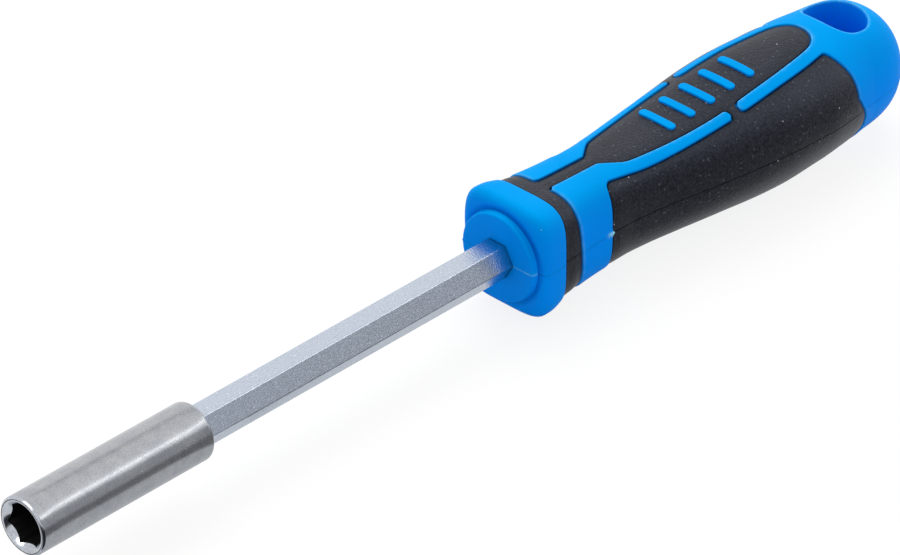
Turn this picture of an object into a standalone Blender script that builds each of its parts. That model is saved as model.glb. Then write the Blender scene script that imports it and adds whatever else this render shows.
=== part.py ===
"""Bit driver handle: a fixed hex blade with a magnetic bit sleeve in a moulded two-colour grip.

Run with blender --background --python part.py or from Blender's text editor.
The tool lies along X with the bit socket towards -X, its top panel faces +Z and
its lowest point rests on Z = 0. Sizes are in millimetres until MM turns them into metres.
"""

import math

import bmesh
import bpy

MM = 0.001

# Clearances.
GAP = 0.3
SEAM = 0.3

# Bit sleeve and its magnet.
SLEEVE_LENGTH = 35.4
SLEEVE_DIAMETER = 9.8
SLEEVE_FRONT_CHAMFER = 0.35
SLEEVE_REAR_RADIUS = 0.8
SOCKET_FLATS = 6.4
SOCKET_DEPTH = 13.0
SOCKET_TURN_DEGREES = 46.7
SOCKET_MOUTH_DIAMETER = 8.3
MAGNET_DIAMETER = 5.4
MAGNET_LENGTH = 3.0
SLEEVE_WEB = 3.0

# Hex shaft, its spigot in the sleeve and its fins in the core.
SHAFT_FLATS = 6.0
SHAFT_EXPOSED_LENGTH = 65.8
SPIGOT_DIAMETER = 5.2
FIN_SPAN = 10.0
FIN_THICKNESS = 1.6
FIN_LENGTH = 8.0
FIN_AT = 46.0
SHAFT_TAIL_LENGTH = 4.0

# Inner core with the round flange that shows in front of the collar.
FLANGE_DIAMETER = 15.5
FLANGE_THICKNESS = 0.9
FLANGE_EDGE_RADIUS = 0.45
CORE_WALL = 1.0
CORE_SHOULDER_LENGTH = 4.0

# Handle body. Each section is its place behind the collar's front face in per cent of the
# handle's length, its width, its height and its squareness: 2 is an ellipse, more is a
# rounded rectangle.
HANDLE_LENGTH = 88.3
HANDLE_SECTIONS = (
    (0.0, 18.2, 19.4, 4.6),
    (2.9, 18.2, 19.4, 4.5),
    (8.4, 16.7, 18.2, 3.9),
    (18.3, 15.8, 17.4, 3.6),
    (23.9, 15.8, 17.2, 3.45),
    (29.4, 16.6, 17.4, 3.35),
    (36.1, 18.3, 17.8, 3.25),
    (47.2, 21.2, 19.2, 2.95),
    (58.3, 23.4, 21.4, 2.6),
    (64.9, 24.1, 22.3, 2.4),
    (72.7, 24.3, 22.7, 2.15),
    (79.4, 23.3, 22.5, 2.1),
    (86.1, 21.1, 22.1, 2.1),
)
COLLAR_EDGE_RADIUS = 1.7
BUTT_TAPER = 0.007
BUTT_BLUNTNESS = 3.35
SECTION_POINTS = 40
HANDLE_RINGS = 27
BUTT_RINGS = 8

# Hanging hole, straight down through the rear of the handle.
HOLE_FROM_BUTT = 10.5
HOLE_LENGTH = 9.5
HOLE_WIDTH = 11.4
HOLE_SQUARENESS = 2.3

# Soft grip: its thickness, the ring behind the collar and the stem.
GRIP_THICKNESS = 1.5
RING_FRONT = 5.7
RING_REAR = 8.9
STEM_WIDTH = 2.6

# Edges of the soft grip's top panel and side grips, as (per cent of the handle's length,
# half width), and the places where they end or the bridges cross, in per cent too.
PANEL_EDGE = (
    (26.6, 4.05),
    (29.8, 4.5),
    (37.4, 5.35),
    (44.3, 5.85),
    (54.4, 6.08),
    (60.4, 6.05),
    (64.3, 5.9),
    (68.6, 5.45),
    (72.9, 4.75),
    (75.7, 4.1),
    (77.5, 3.0),
    (78.4, 1.6),
)
GRIP_EDGE = (
    (19.9, 5.6),
    (25.0, 6.1),
    (28.9, 6.55),
    (35.6, 7.08),
    (42.5, 7.5),
    (49.8, 7.8),
    (57.8, 7.8),
    (64.8, 7.5),
    (71.9, 6.95),
    (76.9, 6.35),
)
STEM_END = 22.5
PANEL_END = 78.6
GRIP_FRONT = 19.25
GRIP_REAR = 81.65
BRIDGE_AT = 52.0
RIBS_AT = 50.5
BRIDGE_WIDTH = 1.9
STRIP_END_RADIUS = 0.8
CORNER_RADIUS = 0.9

# Plain cross ribs of the hard plastic that stand up through the top panel.
RIB_COUNT = 5
RIB_PITCH = 4.6
RIB_WIDTH = 1.6
RIB_LENGTH = 7.6
RIB_HEIGHT = 0.4
RIB_CORNER_RADIUS = 0.64

TURNED_POINTS = 40
ARC_STEPS = 5
REACH = 20.0
OVERCUT = 1.0
LEAST_RING_STEP = 0.2
POLE_RADIUS = 0.3

# Places along the tool, measured from the sleeve's front face.
SHOULDER_X = SLEEVE_LENGTH + GAP
FLANGE_X = SLEEVE_LENGTH + SHAFT_EXPOSED_LENGTH
COLLAR_X = FLANGE_X + FLANGE_THICKNESS + GAP
TOTAL_LENGTH = COLLAR_X + HANDLE_LENGTH
MAGNET_POCKET_END = SOCKET_DEPTH + MAGNET_LENGTH + GAP
SPIGOT_BORE_START = MAGNET_POCKET_END + SLEEVE_WEB
SHAFT_END = FIN_AT + FIN_LENGTH + SHAFT_TAIL_LENGTH
AXIS_HEIGHT = max(section[2] for section in HANDLE_SECTIONS) / 2


def at(percent):
    """The distance behind the collar's face at a share of the handle's length."""
    return HANDLE_LENGTH * percent / 100


def clear_scene():
    for obj in list(bpy.data.objects):
        bpy.data.objects.remove(obj, do_unlink=True)


def material(name, colour, roughness, metallic=0.0):
    made = bpy.data.materials.new(name)
    made.use_nodes = True
    shader = made.node_tree.nodes["Principled BSDF"]
    shader.inputs["Base Color"].default_value = (*colour, 1.0)
    shader.inputs["Roughness"].default_value = roughness
    shader.inputs["Metallic"].default_value = metallic
    made.diffuse_color = (*colour, 1.0)
    return made


def solid(name, rings, finish=None):
    """Closes a run of equal point rings, given as (along, across, up), into one object."""
    mesh = bpy.data.meshes.new(name)
    work = bmesh.new()
    rows = []
    for ring in rings:
        row = []
        for along, across, up in ring:
            row.append(work.verts.new(place(along, across, up)))
        rows.append(row)
    for first, second in zip(rows, rows[1:]):
        for i in range(len(first)):
            j = (i + 1) % len(first)
            work.faces.new((first[i], first[j], second[j], second[i]))
    work.faces.new(rows[0])
    work.faces.new(rows[-1])
    bmesh.ops.recalc_face_normals(work, faces=work.faces)
    work.to_mesh(mesh)
    work.free()
    obj = bpy.data.objects.new(name, mesh)
    bpy.context.scene.collection.objects.link(obj)
    if finish:
        mesh.materials.append(finish)
    else:
        obj.hide_render = True
        obj.display_type = "WIRE"
    return obj


def place(along, across, up):
    """Tool sizes to world metres: the middle of the length is X = 0 and the bottom Z = 0."""
    return ((along - TOTAL_LENGTH / 2) * MM, across * MM, (up + AXIS_HEIGHT) * MM)


def change(obj, other, operation):
    step = obj.modifiers.new(f"{operation.lower()} {other.name}", "BOOLEAN")
    step.operation = operation
    step.solver = "EXACT"
    step.object = other


def turned(name, profile, finish=None, points=TURNED_POINTS, turn=0.0):
    """A solid of revolution about the tool's axis from (along, radius) pairs."""
    rings = []
    for along, radius in profile:
        ring = []
        for i in range(points):
            angle = turn + 2 * math.pi * i / points
            ring.append((along, radius * math.cos(angle), radius * math.sin(angle)))
        rings.append(ring)
    return solid(name, rings, finish)


def hex_bar(name, start, end, flats, turn, finish=None):
    radius = flats / math.sqrt(3)
    return turned(name, ((start, radius), (end, radius)), finish, 6, turn)


def prism(name, outline, low, high):
    """A plan outline of (along, across) points drawn out along Z, as a cutter."""
    bottom = [(along, across, low) for along, across in outline]
    top = [(along, across, high) for along, across in outline]
    return solid(name, (bottom, top))


def rounded(corners):
    """An outline whose corners (along, across, radius) are turned into arcs."""
    outline = []
    for i, (x, y, radius) in enumerate(corners):
        if radius == 0:
            outline.append((x, y))
            continue
        before = corners[i - 1]
        after = corners[(i + 1) % len(corners)]
        start = math.atan2(before[1] - y, before[0] - x)
        end = math.atan2(after[1] - y, after[0] - x)
        opening = math.remainder(end - start, 2 * math.pi)
        middle = start + opening / 2
        reach = radius / abs(math.sin(opening / 2))
        centre_x = x + reach * math.cos(middle)
        centre_y = y + reach * math.sin(middle)
        half = math.pi / 2 - abs(opening) / 2
        sense = math.copysign(1, opening)
        for step in range(ARC_STEPS + 1):
            swing = sense * half * (1 - 2 * step / ARC_STEPS)
            angle = middle + math.pi + swing
            outline.append((centre_x + radius * math.cos(angle), centre_y + radius * math.sin(angle)))
    return outline


def grown(outline, distance):
    """The outline moved outwards by a distance, or inwards when it is negative."""
    area = 0.0
    for (x0, y0), (x1, y1) in zip(outline, outline[1:] + outline[:1]):
        area += x0 * y1 - x1 * y0
    side = math.copysign(1, area)
    moved = []
    for i, (x, y) in enumerate(outline):
        normals = []
        for (x0, y0), (x1, y1) in ((outline[i - 1], (x, y)), ((x, y), outline[(i + 1) % len(outline)])):
            length = math.hypot(x1 - x0, y1 - y0)
            normals.append((side * (y1 - y0) / length, side * (x0 - x1) / length))
        mean_x = (normals[0][0] + normals[1][0]) / 2
        mean_y = (normals[0][1] + normals[1][1]) / 2
        square = mean_x**2 + mean_y**2
        moved.append((x + distance * mean_x / square, y + distance * mean_y / square))
    return moved


def mirrored(outline):
    return [(x, -y) for x, y in reversed(outline)]


def smooth(column, along):
    """A section value between stations: a cubic that never overshoots them."""
    stations = [(at(row[0]), row[column]) for row in HANDLE_SECTIONS]
    slopes = []
    for (x0, v0), (x1, v1) in zip(stations, stations[1:]):
        slopes.append((v1 - v0) / (x1 - x0))
    tangents = [slopes[0]]
    for left, right in zip(slopes, slopes[1:]):
        tangents.append(2 * left * right / (left + right) if left * right > 0 else 0.0)
    tangents.append(slopes[-1])
    for i, (x0, v0) in enumerate(stations[:-1]):
        x1, v1 = stations[i + 1]
        if along <= x1:
            break
    t = min(1.0, (along - x0) / (x1 - x0))
    width = x1 - x0
    return (
        (1 + 2 * t) * (1 - t) ** 2 * v0
        + t * (1 - t) ** 2 * width * tangents[i]
        + t * t * (3 - 2 * t) * v1
        + t * t * (t - 1) * width * tangents[i + 1]
    )


def section(along, inset):
    """One ring of the handle at a distance behind the collar's face, pulled in by an inset."""
    butt_start = at(HANDLE_SECTIONS[-1][0])
    scale = 1.0
    if along > butt_start:
        share = min(1.0, (along - butt_start) / (HANDLE_LENGTH - butt_start))
        scale = (1 - BUTT_TAPER * (along - butt_start)) * math.sqrt(max(0.0, 1 - share**BUTT_BLUNTNESS))
    edge = 0.0
    if along < COLLAR_EDGE_RADIUS:
        lean = 1 - along / COLLAR_EDGE_RADIUS
        edge = COLLAR_EDGE_RADIUS * (1 - math.sqrt(1 - lean**2))
    half_width = max(POLE_RADIUS, smooth(1, along) / 2 * scale - edge - inset)
    half_height = max(POLE_RADIUS, smooth(2, along) / 2 * scale - edge - inset)
    power = 2 / smooth(3, along)
    ring = []
    for i in range(SECTION_POINTS):
        angle = 2 * math.pi * i / SECTION_POINTS
        cosine = math.cos(angle)
        sine = math.sin(angle)
        across = half_width * math.copysign(abs(cosine) ** power, cosine)
        up = half_height * math.copysign(abs(sine) ** power, sine)
        ring.append((COLLAR_X + along, across, up))
    return ring


def handle_form(name, inset, start, end, finish=None):
    """The handle's outer shape between two distances, pulled in by an inset."""
    butt_start = at(HANDLE_SECTIONS[-1][0])
    first = COLLAR_EDGE_RADIUS
    places = []
    for i in range(ARC_STEPS + 1):
        places.append(first * (1 - math.cos(math.pi / 2 * i / ARC_STEPS)))
    for i in range(1, HANDLE_RINGS + 1):
        places.append(first + (butt_start - first) * i / HANDLE_RINGS)
    for i in range(1, BUTT_RINGS + 1):
        turn = math.pi / 2 * i / BUTT_RINGS
        places.append(butt_start + (HANDLE_LENGTH - butt_start) * math.sin(turn))
    inside = [along for along in places if start + LEAST_RING_STEP < along < end - LEAST_RING_STEP]
    return solid(name, [section(along, inset) for along in [start, *inside, end]], finish)


def flank_outline():
    """The hard plastic that shows between ring and side grip, with its strip along the panel."""
    strip_end = at(BRIDGE_AT) - BRIDGE_WIDTH / 2
    inner = [point for point in placed(PANEL_EDGE) if point[0] < strip_end - STRIP_END_RADIUS]
    outer = [point for point in placed(GRIP_EDGE) if point[0] < strip_end - STRIP_END_RADIUS]
    corners = [(RING_REAR, STEM_WIDTH / 2, CORNER_RADIUS)]
    corners.append((at(STEM_END), STEM_WIDTH / 2, CORNER_RADIUS))
    corners.append((*inner[0], 2 * CORNER_RADIUS))
    corners.extend((x, y, 0) for x, y in inner[1:])
    corners.append((strip_end, edge_at(PANEL_EDGE, strip_end), STRIP_END_RADIUS))
    corners.append((strip_end, edge_at(GRIP_EDGE, strip_end), STRIP_END_RADIUS))
    corners.extend((x, y, 0) for x, y in reversed(outer[1:]))
    corners.append((*outer[0], CORNER_RADIUS))
    corners.append((at(GRIP_FRONT), outer[0][1] + 2 * CORNER_RADIUS, 0))
    corners.append((at(GRIP_FRONT), REACH, 0))
    corners.append((RING_REAR, REACH, 0))
    return behind_collar(rounded(corners))


def cap_outline():
    """The hard plastic rear cap, with its two strips that run forward beside the panel."""
    strip_end = at(BRIDGE_AT) + BRIDGE_WIDTH / 2
    inner = [point for point in placed(PANEL_EDGE) if point[0] > strip_end + STRIP_END_RADIUS]
    outer = [point for point in placed(GRIP_EDGE) if point[0] > strip_end + STRIP_END_RADIUS]
    half = [(x, y, 0) for x, y in reversed(inner)]
    half.append((strip_end, edge_at(PANEL_EDGE, strip_end), STRIP_END_RADIUS))
    half.append((strip_end, edge_at(GRIP_EDGE, strip_end), STRIP_END_RADIUS))
    half.extend((x, y, 0) for x, y in outer[:-1])
    half.append((*outer[-1], CORNER_RADIUS))
    half.append((at(GRIP_REAR), max(row[1] for row in HANDLE_SECTIONS) / 2, 0))
    half.append((at(GRIP_REAR), REACH, 0))
    half.append((HANDLE_LENGTH + REACH, REACH, 0))
    other = [(x, -y, radius) for x, y, radius in reversed(half)]
    return behind_collar(rounded([(at(PANEL_END), 0.0, 0), *half, *other]))


def edge_at(edge, along):
    """The half width of a grip edge between two of its points."""
    points = placed(edge)
    for (x0, y0), (x1, y1) in zip(points, points[1:]):
        if x0 <= along <= x1:
            return y0 + (y1 - y0) * (along - x0) / (x1 - x0)
    raise ValueError("the strips end beyond their edges")


def placed(edge):
    return [(at(percent), half_width) for percent, half_width in edge]


def behind_collar(outline):
    return [(COLLAR_X + x, y) for x, y in outline]


def rib_outline(number):
    along = at(RIBS_AT) + (number - (RIB_COUNT - 1) / 2) * RIB_PITCH
    wide = RIB_WIDTH / 2
    tall = RIB_LENGTH / 2
    corners = []
    for x, y in ((-wide, -tall), (wide, -tall), (wide, tall), (-wide, tall)):
        corners.append((along + x, y, RIB_CORNER_RADIUS))
    return behind_collar(rounded(corners))


def hole_outline():
    outline = []
    power = 2 / HOLE_SQUARENESS
    for i in range(SECTION_POINTS):
        angle = 2 * math.pi * i / SECTION_POINTS
        cosine = math.cos(angle)
        sine = math.sin(angle)
        x = HANDLE_LENGTH - HOLE_FROM_BUTT + HOLE_LENGTH / 2 * math.copysign(abs(cosine) ** power, cosine)
        outline.append((x, HOLE_WIDTH / 2 * math.copysign(abs(sine) ** power, sine)))
    return behind_collar(outline)


def hard_prisms(grow, label):
    """Cutters over all hard plastic that shows, grown by half a seam or shrunk by it."""
    front = [(-REACH, -REACH), (RING_FRONT, -REACH), (RING_FRONT, REACH), (-REACH, REACH)]
    outlines = {"collar": behind_collar(front), "flank_left": flank_outline()}
    outlines["flank_right"] = mirrored(flank_outline())
    outlines["cap"] = cap_outline()
    made = []
    for name, outline in outlines.items():
        made.append(prism(f"{label}_{name}", grown(outline, grow), -REACH, REACH))
    for number in range(RIB_COUNT):
        made.append(prism(f"{label}_rib_{number}", grown(rib_outline(number), grow), 0, REACH))
    return made


def build_sleeve(finish):
    radius = SLEEVE_DIAMETER / 2
    profile = [(0, radius - SLEEVE_FRONT_CHAMFER), (SLEEVE_FRONT_CHAMFER, radius)]
    for step in range(ARC_STEPS + 1):
        turn = math.pi / 2 * step / ARC_STEPS
        along = SLEEVE_LENGTH - SLEEVE_REAR_RADIUS * (1 - math.sin(turn))
        profile.append((along, radius - SLEEVE_REAR_RADIUS * (1 - math.cos(turn))))
    sleeve = turned("bit_sleeve", profile, finish)
    turn = math.radians(SOCKET_TURN_DEGREES)
    change(sleeve, hex_bar("cut_socket", -OVERCUT, SOCKET_DEPTH, SOCKET_FLATS, turn), "DIFFERENCE")
    mouth = SOCKET_MOUTH_DIAMETER / 2
    deep = mouth - SOCKET_FLATS / 2 + OVERCUT
    cone = ((-OVERCUT, mouth + OVERCUT), (deep, mouth - deep))
    change(sleeve, turned("cut_mouth", cone), "DIFFERENCE")
    pocket = MAGNET_DIAMETER / 2 + GAP
    change(sleeve, turned("cut_magnet", ((OVERCUT, pocket), (MAGNET_POCKET_END, pocket))), "DIFFERENCE")
    bore = SPIGOT_DIAMETER / 2 + GAP
    spigot = turned("cut_spigot", ((SPIGOT_BORE_START, bore), (SLEEVE_LENGTH + OVERCUT, bore)))
    change(sleeve, spigot, "DIFFERENCE")


def build_magnet(finish):
    radius = MAGNET_DIAMETER / 2
    turned("bit_magnet", ((SOCKET_DEPTH, radius), (SOCKET_DEPTH + MAGNET_LENGTH, radius)), finish)


def build_shaft(name, grow, finish=None):
    """The hex shaft with its spigot and fins, or the space for it when it is grown."""
    flats = SHAFT_FLATS + 2 * grow
    bar = hex_bar(name, SHOULDER_X - grow, COLLAR_X + SHAFT_END + grow, flats, 0.0, finish)
    thick = FIN_THICKNESS / 2 + grow
    span = FIN_SPAN / 2 + grow
    low = COLLAR_X + FIN_AT - grow
    high = COLLAR_X + FIN_AT + FIN_LENGTH + grow
    fin = prism(f"{name}_fins", [(low, -span), (high, -span), (high, span), (low, span)], -thick, thick)
    change(bar, fin, "UNION")
    if finish:
        radius = SPIGOT_DIAMETER / 2
        run = ((SPIGOT_BORE_START + GAP, radius), (SHOULDER_X + 2 * GAP, radius))
        change(bar, turned(f"{name}_spigot", run), "UNION")
    return bar


def core_profile(grow):
    """The core behind its flange, or the bore for it when it is grown."""
    neck = SHAFT_FLATS / math.sqrt(3) + GAP + CORE_WALL + grow
    bulb = FIN_SPAN / 2 + GAP + CORE_WALL + grow
    bulb_start = COLLAR_X + FIN_AT - CORE_WALL - grow
    end = COLLAR_X + SHAFT_END + GAP + CORE_WALL + grow
    cone = ((bulb_start - CORE_SHOULDER_LENGTH, neck), (bulb_start, bulb))
    return (*cone, (end - CORE_SHOULDER_LENGTH, bulb), (end, neck))


def build_core(finish):
    profile = core_profile(0)
    edge = FLANGE_EDGE_RADIUS
    radius = FLANGE_DIAMETER / 2
    flange = []
    for step in range(ARC_STEPS + 1):
        turn = math.pi / 2 * step / ARC_STEPS
        flange.append((FLANGE_X + edge * (1 - math.sin(turn)), radius - edge * (1 - math.cos(turn))))
    flange.reverse()
    flange.append((FLANGE_X + FLANGE_THICKNESS, radius))
    flange.append((FLANGE_X + FLANGE_THICKNESS, profile[0][1]))
    core = turned("inner_core", (*flange, *profile), finish)
    change(core, build_shaft("cut_shaft", GAP), "DIFFERENCE")


def build_shell(finish):
    shell = handle_form("handle_shell", 0, 0, HANDLE_LENGTH, finish)
    raised = handle_form("raised_form", -RIB_HEIGHT, RING_REAR, at(GRIP_REAR))
    ribs = [prism(f"raised_rib_{n}", grown(rib_outline(n), -SEAM / 2), 0, REACH) for n in range(RIB_COUNT)]
    for rib in ribs:
        change(rib, raised, "INTERSECT")
        change(shell, rib, "UNION")
    front = RING_FRONT - OVERCUT
    rear = at(GRIP_REAR) + OVERCUT
    space = handle_form("grip_space", -GRIP_THICKNESS, front, rear)
    bed = handle_form("grip_bed", GRIP_THICKNESS + GAP, front - OVERCUT, rear + OVERCUT)
    change(space, bed, "DIFFERENCE")
    for hard in hard_prisms(-SEAM / 2, "keep"):
        change(space, hard, "DIFFERENCE")
    change(shell, space, "DIFFERENCE")
    profile = core_profile(GAP)
    bore = turned("cut_core", ((COLLAR_X - OVERCUT, profile[0][1]), *profile))
    change(shell, bore, "DIFFERENCE")
    change(shell, prism("cut_hole", hole_outline(), -REACH, REACH), "DIFFERENCE")


def build_grip(finish):
    front = RING_FRONT - OVERCUT
    rear = at(GRIP_REAR) + OVERCUT
    grip = handle_form("soft_grip", 0, front, rear, finish)
    bed = handle_form("grip_inside", GRIP_THICKNESS, front - OVERCUT, rear + OVERCUT)
    change(grip, bed, "DIFFERENCE")
    for hard in hard_prisms(SEAM / 2, "window"):
        change(grip, hard, "DIFFERENCE")


def main():
    clear_scene()
    build_sleeve(material("turned_stainless", (0.55, 0.54, 0.52), 0.32, 1.0))
    build_magnet(material("plated_magnet", (0.62, 0.62, 0.64), 0.25, 1.0))
    build_shaft("hex_shaft", 0.0, material("satin_plated_steel", (0.6, 0.61, 0.63), 0.35, 1.0))
    build_core(material("blue_core_plastic", (0.0, 0.16, 0.62), 0.4))
    build_shell(material("blue_handle_plastic", (0.0, 0.23, 0.76), 0.38))
    build_grip(material("black_soft_plastic", (0.032, 0.032, 0.036), 0.7))
    bpy.context.view_layer.update()


main()
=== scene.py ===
"""Bit driver handle: the surfaces that the eye sees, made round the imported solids.

The tool lies along X with its bit socket towards -X. Shapes are worked out in millimetres as
(along, across, up), from the middle of the sleeve's front face, and turned into metres once.
"""

import math

import bmesh
import bpy
import numpy as np
from bpy.props import FloatProperty, FloatVectorProperty, IntProperty, PointerProperty
from mathutils import Matrix, Vector


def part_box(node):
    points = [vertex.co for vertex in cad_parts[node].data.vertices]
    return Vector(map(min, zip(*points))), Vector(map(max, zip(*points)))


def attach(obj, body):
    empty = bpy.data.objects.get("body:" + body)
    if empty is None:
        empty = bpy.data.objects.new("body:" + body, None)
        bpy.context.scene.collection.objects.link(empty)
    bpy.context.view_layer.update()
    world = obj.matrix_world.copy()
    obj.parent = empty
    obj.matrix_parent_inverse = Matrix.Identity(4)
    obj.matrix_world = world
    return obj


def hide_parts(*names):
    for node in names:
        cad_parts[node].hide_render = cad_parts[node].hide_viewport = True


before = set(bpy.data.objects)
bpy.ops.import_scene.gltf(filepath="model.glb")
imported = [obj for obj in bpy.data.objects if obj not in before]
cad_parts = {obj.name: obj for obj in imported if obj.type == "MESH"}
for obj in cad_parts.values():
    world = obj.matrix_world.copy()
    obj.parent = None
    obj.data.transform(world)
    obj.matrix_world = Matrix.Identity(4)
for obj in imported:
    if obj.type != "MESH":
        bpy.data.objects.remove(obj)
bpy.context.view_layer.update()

bl_info = {
    "name": "Bit driver handle",
    "version": (1, 0, 0),
    "blender": (4, 5, 0),
    "location": "3D View > Sidebar > Bit driver",
    "description": "Builds the visible pieces of a bit driver handle and its studio",
    "category": "Object",
}

MM = 0.001

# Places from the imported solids, in millimetres from the sleeve's front face.
SLEEVE_LOW, SLEEVE_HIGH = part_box("bit_sleeve")
MAGNET_LOW, MAGNET_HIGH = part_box("bit_magnet")
SHAFT_LOW, SHAFT_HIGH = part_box("hex_shaft")
CORE_LOW, CORE_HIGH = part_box("inner_core")
SHELL_LOW, SHELL_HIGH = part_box("handle_shell")
ORIGIN = Vector((SLEEVE_LOW.x, 0.0, (SLEEVE_LOW.z + SLEEVE_HIGH.z) / 2))
SLEEVE_REAR = (SLEEVE_HIGH.x - ORIGIN.x) / MM
SLEEVE_RADIUS = (SLEEVE_HIGH.z - SLEEVE_LOW.z) / MM / 2
MAGNET_FRONT = (MAGNET_LOW.x - ORIGIN.x) / MM
MAGNET_REAR = (MAGNET_HIGH.x - ORIGIN.x) / MM
MAGNET_RADIUS = (MAGNET_HIGH.z - MAGNET_LOW.z) / MM / 2
SPIGOT_END = (SHAFT_LOW.x - ORIGIN.x) / MM
SHAFT_END = (SHAFT_HIGH.x - ORIGIN.x) / MM
FIN_TIP = (SHAFT_HIGH.y - SHAFT_LOW.y) / MM / 2
HALF_FLATS = (SHAFT_HIGH.z - SHAFT_LOW.z) / MM / 2
FLANGE_FRONT = (CORE_LOW.x - ORIGIN.x) / MM
CORE_END = (CORE_HIGH.x - ORIGIN.x) / MM
FLANGE_RADIUS = (CORE_HIGH.z - CORE_LOW.z) / MM / 2
COLLAR_FACE = (SHELL_LOW.x - ORIGIN.x) / MM
HANDLE_LENGTH = (SHELL_HIGH.x - SHELL_LOW.x) / MM

# Handle sections: place in per cent of the handle's length, width, height and squareness,
# where 2 is an ellipse and more is a rounded rectangle.
HANDLE_SECTIONS = (
    (0.0, 18.2, 19.4, 4.6),
    (2.9, 18.2, 19.4, 4.5),
    (8.4, 16.7, 18.2, 3.9),
    (18.3, 15.8, 17.4, 3.6),
    (23.9, 15.8, 17.2, 3.45),
    (29.4, 16.6, 17.4, 3.35),
    (36.1, 18.3, 17.8, 3.25),
    (47.2, 21.2, 19.2, 2.95),
    (58.3, 23.4, 21.4, 2.6),
    (64.9, 24.1, 22.3, 2.4),
    (72.7, 24.3, 22.7, 2.15),
    (79.4, 23.3, 22.5, 2.1),
    (86.1, 21.1, 22.1, 2.1),
)
COLLAR_EDGE_RADIUS = 1.7
BUTT_TAPER = 0.007
BUTT_BLUNTNESS = 3.35

# The soft groove in the collar's face round the flange.
FOOT_DEPTH = 0.45
FOOT_WIDTH = 0.7

# Edges of the soft grip in plan: per cent of the handle's length and half width.
PANEL_EDGE = (
    (26.6, 4.02),
    (29.8, 4.5),
    (37.4, 5.35),
    (44.3, 5.82),
    (50.0, 5.96),
    (54.4, 5.88),
    (60.4, 5.7),
    (64.3, 5.52),
    (68.6, 5.1),
    (72.9, 4.6),
    (75.7, 4.1),
    (77.5, 3.05),
    (78.4, 1.65),
)
GRIP_EDGE = (
    (19.9, 5.6),
    (25.0, 6.1),
    (28.9, 6.68),
    (35.6, 7.26),
    (42.5, 7.68),
    (49.8, 7.95),
    (57.8, 7.93),
    (64.8, 7.66),
    (71.9, 7.05),
    (76.9, 6.35),
)
STEM_END = 22.5
PANEL_END = 78.6
GRIP_FRONT = 19.25
GRIP_REAR = 81.65
BRIDGE_AT = 52.0
RIBS_AT = 50.5
RING_FRONT = 5.7
RING_REAR = 8.9
STEM_WIDTH = 2.6
BRIDGE_WIDTH = 1.9
STRIP_END_RADIUS = 0.8
CORNER_RADIUS = 0.9
PANEL_FRONT_RADIUS = 5 * CORNER_RADIUS
GRIP_FRONT_RADIUS = 1.4 * CORNER_RADIUS
GRIP_REAR_RADIUS = 1.2 * CORNER_RADIUS

# Edges down the sides, as heights and values there: how far the ring's rear edge leans back, where
# the side grip ends behind the collar's face, and how far the edges of the underside lie in, in full
# from UNDERSIDE_FULL outwards.
RING_LEAN = ((-6.0, -0.6, 1.8, 4.9, 7.2), (1.2, 1.0, 0.75, 0.4, 0.0))
GRIP_LEAN = (
    (-11.4, -10.6, -9.9, -9.2, -8.4, -7.4, -6.2, -5.0, -3.5, -1.9, -0.5, 0.3, 1.5, 1.7),
    (62.0, 68.0, 70.6, 72.0, 73.2, 73.8, 74.0, 74.0, 73.8, 73.3, 72.5, 72.0, 71.4, 0.0),
)
UNDERSIDE_INSET = ((-6.0, -2.0), (1.15, 0.0))
UNDERSIDE_FULL = 4.0

# The hanging hole. Its rim bends in from this share of its radius outside the hole, and its wall has rows
# at these shares of the way from the middle to the rim.
HOLE_FROM_BUTT = 10.5
HOLE_LENGTH = 9.5
HOLE_WIDTH = 11.4
HOLE_SQUARENESS = (2.55, 2.1)
HOLE_RIM_SHARE = 0.5
HOLE_ROWS = (0.75, 0.5, 0.25)

# The mould's parting line: the columns of points beside it, its width, how it drifts along the handle and
# how far off its columns still follow. It fades where the handle is narrower than PARTING_FADE on each
# side, and its columns draw together where a quarter of the section is shorter than PARTING_QUARTER.
PARTING_COLUMNS = (0.07, 0.16, 0.3, 0.55)
PARTING_WIDTH = 0.1
PARTING_DRIFT = ((0.0, 0.35, 0.75, 1.0), (-0.3, -0.35, -1.1, -1.4))
PARTING_HOLD = 5.0
PARTING_FADE = 6
PARTING_QUARTER = 12

# The soft plastic: its dip at the seams, the radius of its edges as a share of the hard plastic's, how much
# thinner than its bed it is as a share of its drop, and its groove at the parting line, which is so many
# times as deep as the hard plastic's line is high, and narrower by this power. The bed's floor is drawn out
# to its wall over BED_RUN radii.
SEAM_HOLLOW = 0.1
SEAM_HOLLOW_WIDTH = 0.8
SOFT_EDGE = 0.6
SOFT_CLEARANCE = 1.5
GROOVE_DEPTH = 5
GROOVE_POWER = 6
BED_RUN = 3

# Marks on the rows of a rounded edge: a painted highlight where it faces the lit side and a painted shade
# where it faces away; a painted highlight on the hole's rim and on the brink of a seam; then the side that
# the painted highlight faces and how fast the marks change round a bend.
HIGHLIGHT_MARKS = (0.7, 1.0, 0.7, 0.2)
SHADE_MARKS = (0.3, 0.7, 1.0, 1.0)
HOLE_MARKS = (0.4, 0.8, 0.15, 0.0)
BRINK_MARK = 0.2
HIGHLIGHT_SIDE = np.array((-0.5, 0.85, 0.15))
HIGHLIGHT_GAIN = 1.2

# The nib of flash: how far it is pulled out, its half length and half height, and its edge mark, which
# paints a highlight on it.
FLASH_PULL = (0.35, -0.12, 0.1)
FLASH_LENGTH = 0.7
FLASH_HEIGHT = 0.35
FLASH_MARK = 8

# Hidden forms, as in the solids, and the gap that parts them.
GAP = 0.3
SPIGOT_RADIUS = 2.6
BORE_RADIUS = 5.06
BULB_RADIUS = 6.6
BULB_FRONT = 44.7
BULB_CONE = 4.0
FIN_AT = 46.0
FIN_LENGTH = 8.0
FIN_HALF_THICKNESS = 0.8
FIN_REACH = np.array((3.05, 3.1, 4.85, 5.0, 5.0, 5.0, 4.85, 3.1, 3.05)) / 5.0
FIN_RISE = np.array((-1, -1, -1, -0.8, 0, 0.8, 1, 1, 1))

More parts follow.
